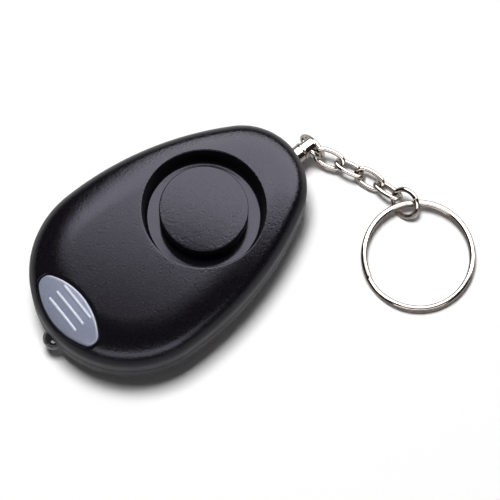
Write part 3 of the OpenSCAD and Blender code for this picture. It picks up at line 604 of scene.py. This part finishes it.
edge_cos, edge_sin = arc_steps(0, 90 - CROWN_TURN, 12)
round_cos, round_sin = arc_steps(15, 90, 5)
skirt = edge_rows(
    np.concatenate([SPLIT_ROUND * (1 - split_cos), [0, 0], EDGE_R * (1 - edge_cos)]),
    np.concatenate([SPLIT_Z + SPLIT_ROUND * (1 - split_sin), SKIRT_ROWS, edge_z + EDGE_R * edge_sin]))
crown = on_top(plan_rows(skirt[-1], RIM_R + RIM_ROUND, 40))
rim_z = crown[-1, :, 2]
rim_edge_z = [rim_z - RIM_ROUND * (1 - c) for c in round_cos]
rim_edge = ring_rows(skirt[-1], RIM_R + RIM_ROUND * (1 - round_sin), rim_edge_z)
well_z = [rim_z * (1 - s) + WELL_Z * s for s in WELL_STEPS]
well = ring_rows(skirt[-1], [RIM_R - WELL_TAPER * s for s in WELL_STEPS], well_z)
foot_r = RIM_R - WELL_TAPER - WELL_FILLET
well_foot = ring_rows(skirt[-1], foot_r + WELL_FILLET * round_cos, WELL_Z + WELL_FILLET * (1 - round_sin))
well_floor = ring_rows(skirt[-1], np.linspace(foot_r - 0.4, SOUND_HOLE_R, 10), np.full(10, WELL_Z))
upper_outer = np.concatenate([skirt, crown, rim_edge, well, well_foot, well_floor])
ceiling_edge = edge_rows(
    np.concatenate([EDGE_R - (EDGE_R - WALL) * edge_cos[::-1], [WALL, WALL, WALL / 2, WALL / 2]]),
    np.concatenate([edge_z + (EDGE_R - WALL) * edge_sin[::-1],
                    [SKIRT_ROWS[1], lap_z + LAP_GAP, lap_z + LAP_GAP, SPLIT_Z]]))
cup_r = RIM_R + CUP_WALL
ceiling = on_top(plan_rows(ceiling_edge[0], cup_r, 24), -WALL)[::-1]
cup = ring_rows(skirt[-1], [SOUND_HOLE_R, 9, 11, 13, cup_r, cup_r, cup_r],
                [WELL_Z - FLOOR_T] * 5 + [WELL_Z, WELL_Z + 2])
upper_inner = np.concatenate([cup, ceiling, ceiling_edge])

BUTTON_OUT_X = -40.15
BUTTON_IN_X = -32.1
BUTTON_OUTER_R = 16
BUTTON_INNER_R = 15.3
BUTTON_TIP_R = 2.0
button_x = (BUTTON_OUT_X + BUTTON_IN_X) / 2
arc_centres = np.array([[BUTTON_OUT_X + BUTTON_OUTER_R, 0], [BUTTON_IN_X - BUTTON_INNER_R, 0]])
arc_span = arc_centres[0, 0] - arc_centres[1, 0]
tip_along = (arc_span ** 2 + (BUTTON_INNER_R - BUTTON_TIP_R) ** 2
             - (BUTTON_OUTER_R - BUTTON_TIP_R) ** 2) / (2 * arc_span)
tip_aside = math.sqrt((BUTTON_INNER_R - BUTTON_TIP_R) ** 2 - tip_along ** 2)
tip = np.array([arc_centres[1, 0] + tip_along, tip_aside])


def almond(p):
    """Signed distance in plan outside the button's almond outline, and the direction straight away from it.
    The outline is two wide arcs that meet in two small tip arcs; the arc whose sector holds a point counts."""
    flip = np.where(p[:, 1] < 0, -1, 1)
    q = np.stack([p[:, 0], np.abs(p[:, 1])], -1)
    to_outer, to_inner = tip - arc_centres[0], tip - arc_centres[1]
    off = q - tip
    in_tip = ((to_inner[0] * off[:, 1] - to_inner[1] * off[:, 0] >= 0)
              & (off[:, 0] * to_outer[1] - off[:, 1] * to_outer[0] >= 0))
    from_outer = np.linalg.norm(q - arc_centres[0], axis=1) - BUTTON_OUTER_R
    from_inner = np.linalg.norm(q - arc_centres[1], axis=1) - BUTTON_INNER_R
    centre = np.where(in_tip[:, None], tip, np.where((from_outer > from_inner)[:, None], *arc_centres))
    radius = np.where(in_tip, BUTTON_TIP_R, np.where(from_outer > from_inner, BUTTON_OUTER_R, BUTTON_INNER_R))
    away = q - centre
    length = np.linalg.norm(away, axis=1)
    away = away / np.maximum(length, 1e-9)[:, None]
    return length - radius, np.stack([away[:, 0], away[:, 1] * flip], -1)


def lip_rows(p, inward_way, width, surface, steps):
    """Rows of a round lip: from points on a surface the section turns in an arc until it points straight down.
    The arc leaves along the surface's own slope, and its radius is such that it covers the width."""
    ahead = np.concatenate([p[:, :2] + 0.01 * inward_way, p[:, 2:]], 1)
    slope = np.arctan2(surface(ahead)[:, 2] - p[:, 2], 0.01)
    radius = width / (1 + np.sin(slope))
    rows = []
    for share in np.arange(1, steps + 1) / steps:
        turn = slope + (-np.pi / 2 - slope) * share
        along = radius * (np.sin(slope) - np.sin(turn))
        drop = radius * (np.cos(turn) - np.cos(slope))
        rows.append(np.concatenate([p[:, :2] + along[:, None] * inward_way, (p[:, 2] + drop)[:, None]], 1))
    return rows


def smooth_well(finish):
    """Takes the grain off a finish inside the sounder's well, by the distance from its axis and by height."""
    x, y, z = axes(finish, "ShaderNodeTexCoord", "Object")
    within = fade(finish, span(finish, x, y), RIM_R * MM, (RIM_R - GRAIN_FADE / 2) * MM)
    below_rim = fade(finish, z, (CASE_H - 2 * GRAIN_FADE) * MM, (CASE_H - 3 * GRAIN_FADE) * MM)
    above_floor = fade(finish, z, (WELL_Z - 2 * GRAIN_FADE) * MM, (WELL_Z - GRAIN_FADE) * MM)
    in_well = reckon(finish, "MULTIPLY", reckon(finish, "MULTIPLY", within, below_rim), above_floor)
    bump = finish.node_tree.nodes["Principled BSDF"].inputs["Normal"].links[0].from_node
    finish.node_tree.links.new(reckon(finish, "SUBTRACT", 1, in_well), bump.inputs["Strength"])


smooth_well(case_finish)
outer = skin(upper_outer)
inner = skin(upper_inner)
*outer, lip = cut(*outer, lambda p: np.where(p[:, 2] > OPENING_Z, almond(p)[0] - BUTTON_GAP - LIP_W, 1), on_top)
lip_points = outer[0][np.unique(lip)]
lip_way = -almond(lip_points)[1]
*outer, lip = carry_rim(*outer, lip, lip_rows(lip_points, lip_way, LIP_W, on_top, 5))
*inner, inner_lip = cut(*inner, lambda p: np.maximum(almond(p)[0] - BUTTON_GAP, OPENING_Z - p[:, 2]))
rims = [(lip, inner_lip, lambda p: np.arctan2(p[:, 1], p[:, 0] - button_x))]
seams = [(0, (len(upper_inner) - 1) * COLUMNS), ((len(upper_outer) - 1) * COLUMNS, 0)]
add_piece("upper_case", *close_shell(outer, inner, rims, seams),
          case_finish, "case_plastic", "case", "upper_case")

# Sounder cap: a flat round lid that stands in the well over the sound hole and hides it.
# It is a separate moulding of the same black plastic, on six feet between its sound windows.
CAP_R = 9.55
CAP_TOP = 18.0
CAP_WALL = 1.3
CAP_ROUND = 0.35
WINDOW_H = 2
WINDOW_W = 5
WINDOWS = 6
FOOT_LAP = 0.5


def turned(profile, columns):
    """Profile of (along, radius) turned about X; where an end lies on the axis it closes in one point,
    and otherwise the last row meets the first."""
    profile = np.asarray(profile, float)
    poles = profile[:, 1] == 0
    body = profile[~poles]
    turn = np.linspace(0, 2 * np.pi, columns, endpoint=False)
    rows = np.stack([
        np.broadcast_to(body[:, :1], (len(body), columns)),
        body[:, 1:] * np.cos(turn),
        body[:, 1:] * np.sin(turn)], -1)
    points, faces = skin(rows)
    row = np.arange(columns)
    last = row + (len(body) - 1) * columns
    if not poles.any():
        faces = np.concatenate([faces, strip(last, row)])
    for pole, ring in ((poles[0], row), (poles[-1], last)):
        if pole:
            along = profile[0 if ring is row else -1, 0]
            points = np.concatenate([points, [[along, 0, 0]]])
            middle = np.full(columns, len(points) - 1)
            faces = np.concatenate([faces, np.stack([ring, np.roll(ring, -1), middle], -1)])
    return points, faces


def rounded(corners, radius, steps=5):
    """Profile through corners of (along, radius), each inner corner rounded by an arc.
    A corner's arc runs from its radius before it to its radius after it."""
    corners = np.asarray(corners, float)
    rows = [corners[:1]]
    for before, here, after in zip(corners[:-2], corners[1:-1], corners[2:]):
        to, on = (here - before) / np.linalg.norm(here - before), (after - here) / np.linalg.norm(after - here)
        share = np.linspace(0, 1, steps + 1)[:, None]
        start, end = here - to * radius, here + on * radius
        rows.append((1 - share) ** 2 * start + 2 * share * (1 - share) * here + share ** 2 * end)
    rows.append(corners[-1:])
    return np.concatenate(rows)


def upright(mesh):
    """A mesh turned about X, stood up so that its axis is Z."""
    points, faces = mesh
    return points[:, [1, 2, 0]], faces


def joined(*meshes):
    """Several meshes as one."""
    starts = np.cumsum([0] + [len(points) for points, _ in meshes])
    return (np.concatenate([points for points, _ in meshes]),
            np.concatenate([faces + start for (_, faces), start in zip(meshes, starts)]))


cap_floor = WELL_Z + WINDOW_H
cap_shell = upright(turned(rounded(
    [(CAP_TOP, 0), (CAP_TOP, CAP_R), (cap_floor, CAP_R), (cap_floor, CAP_R - CAP_WALL),
     (CAP_TOP - CAP_WALL, CAP_R - CAP_WALL), (CAP_TOP - CAP_WALL, 0)], CAP_ROUND), 180))
window_turn = 2 * math.asin(WINDOW_W / 2 / CAP_R)
foot_turn = 2 * math.pi / WINDOWS - window_turn
cap_feet = []
for i in range(WINDOWS):
    sector = np.linspace(-foot_turn / 2, foot_turn / 2, 13) + 2 * math.pi * (i + 0.5) / WINDOWS
    corners = [(CAP_R - CAP_WALL, WELL_Z), (CAP_R, WELL_Z),
               (CAP_R, cap_floor + FOOT_LAP), (CAP_R - CAP_WALL, cap_floor + FOOT_LAP)]
    rows = np.array([[(r * math.cos(t), r * math.sin(t), z) for r, z in corners] for t in sector])
    points, faces = skin(rows)
    ends = [(0, 1, 2), (0, 2, 3), (48, 50, 49), (48, 51, 50)]
    cap_feet.append((points, np.concatenate([faces, ends])))
add_piece("sounder_cap", *joined(cap_shell, *cap_feet), case_finish, "case_plastic", "case", "sounder_cap")

# Torch button: a grey moulded push button, almond shaped, that follows the top of the case and stands
# a little proud of it. Three raised ribs give the thumb a grip.
BUTTON_RISE = 0.25
BUTTON_FOOT = 13.4
SKIRT_FLARE = 0.27
BUTTON_ROUND = 0.45
RIB_L = 9.3
RIB_W = 0.6
RIB_H = 0.3
RIB_PITCH = 2
RIB_SHIFT = 0.35
RIB_SPREAD = 0.7
RIB_POWER = 1.4
# Painted highlights: width and core of the paler band on each rib's crest, then width, end and share of the
# paler band along the inner edge.
CREST_HIGHLIGHT_W = 0.36
CREST_HIGHLIGHT_CORE = 0.3
EDGE_HIGHLIGHT_W = 0.7
EDGE_HIGHLIGHT_END = 0.2
EDGE_HIGHLIGHT_SHARE = 0.5


def ribbed_top(p):
    """Button top: the case's top raised, with three ribs whose section is a half wave, with round ends."""
    bump = np.zeros(len(p))
    for i in (-1, 0, 1):
        across = p[:, 0] - (button_x + RIB_SHIFT + i * RIB_PITCH)
        past = np.maximum(np.abs(p[:, 1]) - (RIB_L - RIB_W) / 2, 0)
        aside = np.minimum(np.hypot(across, past) / (RIB_SPREAD * RIB_W), 1)
        bump = np.maximum(bump, RIB_H * np.cos(aside * np.pi / 2) ** RIB_POWER)
    top = on_top(p, BUTTON_RISE)
    return top + bump[:, None] * (0, 0, 1)


def paint_button_highlights(finish, highlight_colour):
    """Paints a highlight in a paler colour on the crests of the ribs and along the inner edge of the button.
    The mask is the distance in plan from the nearest rib's line, or from the arc of the inner edge."""
    nodes, links = finish.node_tree.nodes, finish.node_tree.links
    shader = nodes["Principled BSDF"]
    under = shader.inputs["Base Color"].links[0].from_socket
    step = partial(reckon, finish)
    x, y = axes(finish, "ShaderNodeTexCoord", "Object")[:2]
    in_pitches = step("DIVIDE", step("SUBTRACT", x, (button_x + RIB_SHIFT) * MM), RIB_PITCH * MM)
    nearest = step("MINIMUM", step("MAXIMUM", step("ROUND", in_pitches), -1), 1)
    across = step("MULTIPLY", step("SUBTRACT", in_pitches, nearest), RIB_PITCH * MM)
    past = step("MAXIMUM", step("SUBTRACT", step("ABSOLUTE", y), (RIB_L - RIB_W) / 2 * MM), 0)
    from_rib = span(finish, across, past)
    from_centre = span(finish, step("SUBTRACT", x, arc_centres[1, 0] * MM), y)
    # Painted highlight along each rib's crest.
    crest_highlight = fade(finish, from_rib, CREST_HIGHLIGHT_W * MM, CREST_HIGHLIGHT_CORE * CREST_HIGHLIGHT_W * MM, "SMOOTHSTEP")
    # Painted highlight along the inner edge of the button, blended in at part strength.
    edge_highlight_from, edge_highlight_to = (BUTTON_INNER_R - EDGE_HIGHLIGHT_W) * MM, (BUTTON_INNER_R - EDGE_HIGHLIGHT_END) * MM
    rim = fade(finish, from_centre, edge_highlight_from, edge_highlight_to, "SMOOTHSTEP")
    blend = nodes.new("ShaderNodeMix")
    blend.data_type = "RGBA"
    links.new(step("MAXIMUM", crest_highlight, step("MULTIPLY", rim, EDGE_HIGHLIGHT_SHARE)), blend.inputs["Factor"])
    links.new(under, blend.inputs["A"])
    blend.inputs["B"].default_value = (*highlight_colour, 1)
    links.new(blend.outputs["Result"], shader.inputs["Base Color"])


GRID_ROWS = 130
GRID_COLUMNS = 150
GRID_PAST = 0.5
button_finish = grained_plastic(
    "button_grey", (0.175, 0.192, 0.265), (0.222, 0.240, 0.322), 0.40, 2600, 0.00001)
# Paler grey-blue painted highlights on the ribs' crests and along the button's inner edge.
paint_button_highlights(button_finish, (0.50, 0.53, 0.62))
tips_y = tip[1] + BUTTON_TIP_R + GRID_PAST
grid_x = np.linspace(BUTTON_OUT_X - GRID_PAST, BUTTON_IN_X + GRID_PAST, GRID_COLUMNS)
grid_y = np.linspace(-tips_y, tips_y, GRID_ROWS)
plan = np.stack([*np.meshgrid(grid_x, grid_y), np.zeros((GRID_ROWS, GRID_COLUMNS))], -1).reshape(-1, 3)
cell = (np.arange(GRID_ROWS - 1)[:, None] * GRID_COLUMNS + np.arange(GRID_COLUMNS - 1)).ravel()
button_faces = np.concatenate([
    np.stack([cell, cell + 1, cell + GRID_COLUMNS + 1], -1),
    np.stack([cell, cell + GRID_COLUMNS + 1, cell + GRID_COLUMNS], -1)])
points, faces, rim = cut(ribbed_top(plan), button_faces, lambda p: -BUTTON_ROUND - almond(p)[0], ribbed_top)
edge = points[np.unique(rim)]
away = almond(edge)[1]
round_edge = lip_rows(edge, away, BUTTON_ROUND, ribbed_top, 6)
foot = np.concatenate([round_edge[-1][:, :2] + SKIRT_FLARE * away, np.full((len(away), 1), BUTTON_FOOT)], 1)
points, faces, rim = carry_rim(points, faces, rim, round_edge + [foot], close=True)
add_piece("torch_button", points, faces, button_finish, "button_grey", "button", "torch_button")

# Torch switch: a small tact switch on the board, with a white plunger under the button's post.
plunger_finish = grained_plastic("white_plastic", (0.74, 0.74, 0.74), (0.84, 0.84, 0.84), 0.40, 1500, 0.000005)
refinish(black_finish, "switch_body")
refinish(plunger_finish, "switch_plunger")

# Torch lamp: a 5 mm LED pushed through the wide end from inside, with a domed smoky lens and a flange
# with a flat. In the lens stand the cup that carries the die and the second post, on the tinned legs.
LED_R = 2.5
LED_TIP = -43.25
LED_BASE = -34.65
LED_FLANGE_R = 2.9
LED_FLANGE_T = 1
LED_FLAT = 2.55
LEG_HALF = 1.27
LEG_W = 0.5
CUP_R = 0.95
CUP_X = -39.4
POST_ROUND = 0.06


def along_led(mesh, y=0):
    """A mesh turned about X, moved to the axis of the lamp and aside."""
    points, faces = mesh
    return points + (0, y, LED_Z), faces


def clear_epoxy(name, colour, roughness):
    """Cast clear resin: glass with a smoky tint and a slightly uneven gloss."""
    finish = bpy.data.materials.new(name)
    finish.use_nodes = True
    nodes, links = finish.node_tree.nodes, finish.node_tree.links
    shader = nodes["Principled BSDF"]
    shader.inputs["Base Color"].default_value = (*colour, 1)
    shader.inputs["Transmission Weight"].default_value = 1
    shader.inputs["IOR"].default_value = 1.5
    place = nodes.new("ShaderNodeTexCoord")
    cloud = nodes.new("ShaderNodeTexNoise")
    cloud.inputs["Scale"].default_value = 600
    links.new(place.outputs["Object"], cloud.inputs["Vector"])
    gloss = nodes.new("ShaderNodeMapRange")
    gloss.inputs["To Min"].default_value = roughness * 0.5
    gloss.inputs["To Max"].default_value = roughness * 1.5
    links.new(cloud.outputs["Fac"], gloss.inputs["Value"])
    links.new(gloss.outputs["Result"], shader.inputs["Roughness"])
    return finish


led_finish = clear_epoxy("led_clear", (0.27, 0.26, 0.30), 0.06)
leg_finish = bright_metal("tinned_wire", (0.70, 0.70, 0.72), 0.28, 1200)
dome_cos, dome_sin = arc_steps(180, 90, 20)
dome = np.stack([LED_TIP + LED_R * (1 + dome_cos), LED_R * np.where(dome_sin < 1e-9, 0, dome_sin)], -1)
barrel = np.stack([np.linspace(LED_TIP + LED_R + 0.5, LED_BASE - LED_FLANGE_T - 0.5, 8), np.full(8, LED_R)], -1)
flange_back = LED_BASE - LED_FLANGE_T
led_collar = rounded(
    [(flange_back - 0.3, LED_R), (flange_back, LED_R), (flange_back, LED_FLANGE_R), (LED_BASE, LED_FLANGE_R),
     (LED_BASE, 1)], 0.12, 4)
points, faces = along_led(turned(np.concatenate([dome, barrel, led_collar, [(LED_BASE, 0)]]), 96))
points[:, 1] = np.minimum(points[:, 1], LED_FLAT)
add_piece("torch_led", points, faces, led_finish, "led_clear", "case", "torch_led")
post_root = [(LED_BASE - 0.4, 0), (LED_BASE - 0.4, LEG_W / 2)]
cup_profile = post_root + [
    (CUP_X + 1.2, LEG_W / 2), (CUP_X + 0.9, CUP_R * 0.8), (CUP_X, CUP_R), (CUP_X, CUP_R - 0.15),
    (CUP_X + 0.5, 0.4), (CUP_X + 0.5, 0)]
post_profile = post_root + [(CUP_X + 0.3, LEG_W / 2), (CUP_X + 0.3, 0)]
cup = along_led(turned(rounded(cup_profile, POST_ROUND, 3), 48), -LEG_HALF + 0.5)
post = along_led(turned(rounded(post_profile, POST_ROUND, 3), 32), LEG_HALF)
add_piece("led_frame", *joined(cup, post), leg_finish, "tinned_wire", "case")
refinish(leg_finish, "led_legs")

# Pin bush: a short nickel-plated tube pressed through the narrow end from inside, where its flange sits.
# The pull pin runs in its bore.
BUSH_R = 1.85
BUSH_FACE = 27.0
BUSH_BORE_R = 1.25
BUSH_ROUND = 0.15
BUSH_FLANGE_R = 2.5
BUSH_FLANGE_T = 1.2
bush_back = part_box("pin_bush")[0][0] / MM
nickel_finish = bright_metal("nickel", (0.26, 0.230, 0.212), 0.08, 900)


def along_pin(mesh):
    """A mesh turned about X, lifted to the axis of the pull pin."""
    points, faces = mesh
    return points + (0, 0, PIN_Z), faces


bush_seat = bush_back + BUSH_FLANGE_T
back_mid = (BUSH_BORE_R + BUSH_FLANGE_R) / 2
bush_profile = rounded(
    [(bush_back, back_mid), (bush_back, BUSH_FLANGE_R), (bush_seat, BUSH_FLANGE_R), (bush_seat, BUSH_R),
     (BUSH_FACE, BUSH_R), (BUSH_FACE, BUSH_BORE_R), (bush_back, BUSH_BORE_R), (bush_back, back_mid - 0.1)],
    BUSH_ROUND)
add_piece("pin_bush", *along_pin(turned(bush_profile, 96)), nickel_finish, "nickel", "case", "pin_bush")

# Pin switch: a black carrier on the board holds a fixed and a moving contact, kept apart by the pull pin.
refinish(black_finish, "contact_carrier")
refinish(contact_finish, "fixed_contact", "moving_contact")

# Pull pin: a turned nickel-plated pin with a thin flange and a round head, cross-drilled for the jump ring.
# Its shank reaches into the case and holds the siren's contact open.
PIN_R = 1.2
PIN_FLANGE_R = 1.9
PIN_HEAD_R = 1.7
PIN_FLANGE_T = 0.5
EYE_R = 0.95
EYE_FLARE = 0.14
EYE_FLARE_DEEP = 0.25
EYE_SHIFT = -0.2
HEAD_ROUND = 0.4
pin_start, pin_end = (corner[0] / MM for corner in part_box("pull_pin"))
flange_x = BUSH_FACE + 0.05
head_x = flange_x + PIN_FLANGE_T
eye_x = (head_x + pin_end) / 2 + EYE_SHIFT
tip_cos, tip_sin = arc_steps(180, 95, 8)
pin_tip = np.stack([pin_start + PIN_R + PIN_R * tip_cos, PIN_R * np.where(tip_sin < 1e-9, 0, tip_sin)], -1)
shank = np.stack([np.linspace(pin_start + PIN_R, flange_x - 0.3, 12), np.full(12, PIN_R)], -1)
collar = rounded(
    [(flange_x - 0.2, PIN_R), (flange_x, PIN_R), (flange_x, PIN_FLANGE_R), (head_x, PIN_FLANGE_R),
     (head_x, PIN_HEAD_R), (head_x + 0.4, PIN_HEAD_R)], 0.1, 4)
head_side = np.stack([np.linspace(head_x + 0.5, pin_end - 0.5, 24), np.full(24, PIN_HEAD_R)], -1)
head_cos, head_sin = arc_steps(90, 0, 8)
head_end = np.stack([pin_end + HEAD_ROUND * (head_cos - 1), PIN_HEAD_R + HEAD_ROUND * (head_sin - 1)], -1)
face = np.array([(pin_end, 0.8), (pin_end, 0.4), (pin_end, 0)])
pin = along_pin(turned(np.concatenate([pin_tip, shank, collar, head_side, head_end, face]), 128))
mouth_r = EYE_R + EYE_FLARE
points, faces, eye = cut(*pin, lambda p: np.where(
    p[:, 0] > head_x, np.hypot(p[:, 0] - eye_x, p[:, 2] - PIN_Z) - mouth_r, 1))
mouth = points[np.unique(eye)]
from_axis = (mouth - (eye_x, 0, PIN_Z)) * (1, 0, 1)
throat = mouth - from_axis * EYE_FLARE / mouth_r - np.sign(mouth) * (0, EYE_FLARE_DEEP, 0)
points, faces, eye = carry_rim(points, faces, eye, [throat])
near_side = points[eye][:, :, 1].mean(1) < 0
faces = np.concatenate([faces, band(points, eye[near_side], eye[~near_side],
                                    lambda p: np.arctan2(p[:, 2] - PIN_Z, p[:, 0] - eye_x))])
add_piece("pull_pin", points, faces, nickel_finish, "nickel", "pin", "pull_pin")

# Chain: a jump ring in the pin's head, four oval links and a second jump ring that holds the key ring.
# Each is bent from nickel-plated steel wire; the jump rings are closed by butting their ends.
RING_WIRE = 1.1
PIN_RING_D = 7
KEY_LOOP_D = 7.4
LINK_WIRE = 1.05
LINK_L = 7.5
LINK_W = 4.6
LINK_END_R = 1.55
WIRE_SIDES = 28
SLIT_AT = 60
SLIT_TURN = 2
POSES = {
    "pin_ring": (0, 56, 0),
    "chain_link_1": (35, 10, -61),
    "chain_link_2": (-38, 10, -63),
    "chain_link_3": (36, 2, -70),
    "chain_link_4": (-40, -11, -77),
    "key_loop": (52, -5, -82)}


def swept(path, normal, section, close):
    """Section of (out, up) points carried along a flat path in the XY plane; out follows the path's normal.
    An open path ends in flat faces."""
    up = np.array([0, 0, 1.0])
    rows = (path[:, None] + section[None, :, :1] * normal[:, None] + section[None, :, 1:] * up)
    points, faces = skin(rows)
    count = len(section)
    row = np.arange(count)
    last = row + (len(path) - 1) * count
    if close:
        return points, np.concatenate([faces, strip(last, row)])
    points = np.concatenate([points, rows[[0, -1]].mean(1)])
    for ring, middle in ((row, len(points) - 2), (last, len(points) - 1)):
        faces = np.concatenate([faces, np.stack([ring, np.roll(ring, -1), np.full(count, middle)], -1)])
    return points, faces


def round_wire(diameter):
    """Circle of the wire's section."""
    turn = np.linspace(0, 2 * np.pi, WIRE_SIDES, endpoint=False)
    return diameter / 2 * np.stack([np.cos(turn), np.sin(turn)], -1)


def wire_path(bearing, radius, shift_x=0, shift_y=0):
    """Points at bearings, one radius out from centres that may be shifted, and the normals there."""
    normal = np.stack([np.cos(bearing), np.sin(bearing), 0 * bearing], -1)
    return normal * radius + np.stack([shift_x + 0 * bearing, shift_y + 0 * bearing, 0 * bearing], -1), normal


def laid(mesh, node):
    """A mesh rolled, dipped and turned as the chain lies, with its middle at that of its node."""
    points, faces = mesh
    roll, dip, heading = (math.radians(angle) for angle in POSES[node])
    turn = (Matrix.Rotation(heading, 3, "Z") @ Matrix.Rotation(dip, 3, "Y") @ Matrix.Rotation(roll, 3, "X"))
    low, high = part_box(node)
    return points @ np.array(turn).T + np.array((low + high) / 2) / MM, faces


for node, body, diameter in (("pin_ring", "ring_at_pin", PIN_RING_D), ("key_loop", "loop_at_ring", KEY_LOOP_D)):
    bearing = np.radians(np.linspace(SLIT_AT + SLIT_TURN / 2, SLIT_AT + 360 - SLIT_TURN / 2, 97))
    path, normal = wire_path(bearing, (diameter - RING_WIRE) / 2)
    add_piece(node, *laid(swept(path, normal, round_wire(RING_WIRE), False), node),
              nickel_finish, "nickel", body, node)

link_a, link_b = (LINK_L - LINK_WIRE) / 2, (LINK_W - LINK_WIRE) / 2
side_deep = ((link_a - LINK_END_R) ** 2 - (link_b - LINK_END_R) ** 2) / (2 * (link_b - LINK_END_R))
bearing = np.linspace(0, 2 * np.pi, 96, endpoint=False)
on_end = np.abs(np.tan(bearing)) <= side_deep / (link_a - LINK_END_R)
shift_x = np.where(on_end, np.sign(np.cos(bearing)) * (link_a - LINK_END_R), 0)
shift_y = np.where(on_end, 0, -np.sign(np.sin(bearing)) * side_deep)
path, normal = wire_path(bearing, np.where(on_end, LINK_END_R, side_deep + link_b)[:, None], shift_x, shift_y)
for i in (1, 2, 3, 4):
    node = f"chain_link_{i}"
    add_piece(node, *laid(swept(path, normal, round_wire(LINK_WIRE), True), node),
              nickel_finish, "nickel", f"link_{i}", node)

# Split ring: a flat, bevelled nickel-plated spring wire wound not quite twice round, so that a key slides on.
# It steps up to its second turn in the last sixth of the first one.
RING_D = 25
RING_WIRE_W = 1.25
RING_WIRE_H = 0.83
RING_TURN_GAP = 0.44
RING_BEARING = -116
RING_START = -18.5
RING_TURN = 660
STEP_FROM = 300
STEP_TO = 360
ring_mid = (RING_D - RING_WIRE_W) / 2
ring_pitch = RING_WIRE_H + RING_TURN_GAP
ring_joint = next(joint for joint in frame["joints"] if joint["child"] == "key_ring")
ring_hook = np.array(ring_joint["pos_m"]) / MM
ring_tilt = math.asin((ring_hook[2] - (RING_WIRE_H + ring_pitch) / 2) / (RING_D / 2 + ring_mid))
degrees = np.linspace(0, RING_TURN, 331)
bearing = np.radians(degrees)
path, normal = wire_path(bearing, ring_mid)
climb = np.clip((degrees - STEP_FROM) / (STEP_TO - STEP_FROM), 0, 1)
path = path + ring_pitch * (((1 - np.cos(np.pi * climb)) / 2 - 0.5)[:, None] * (0, 0, 1))
corner = np.array([(RING_WIRE_W / 2, 0.08), (0.60, 0.13), (0.37, 0.36), (0.29, 0.40), (0.20, RING_WIRE_H / 2)])
flat_wire = np.concatenate([corner, corner[::-1] * (-1, 1), -corner, corner[::-1] * (1, -1)])
points, faces = swept(path, normal, flat_wire, False)
ring_lay = Matrix.Rotation(math.radians(RING_BEARING), 3, "Z") @ Matrix.Rotation(ring_tilt, 3, "Y")
ring_turn = ring_lay @ Matrix.Rotation(math.radians(RING_START), 3, "Z")
ring_place = ring_hook + np.array(ring_lay @ Vector((ring_mid, 0, 0)))
add_piece("split_ring", points @ np.array(ring_turn).T + ring_place, faces,
          nickel_finish, "nickel", "key_ring", "split_ring")
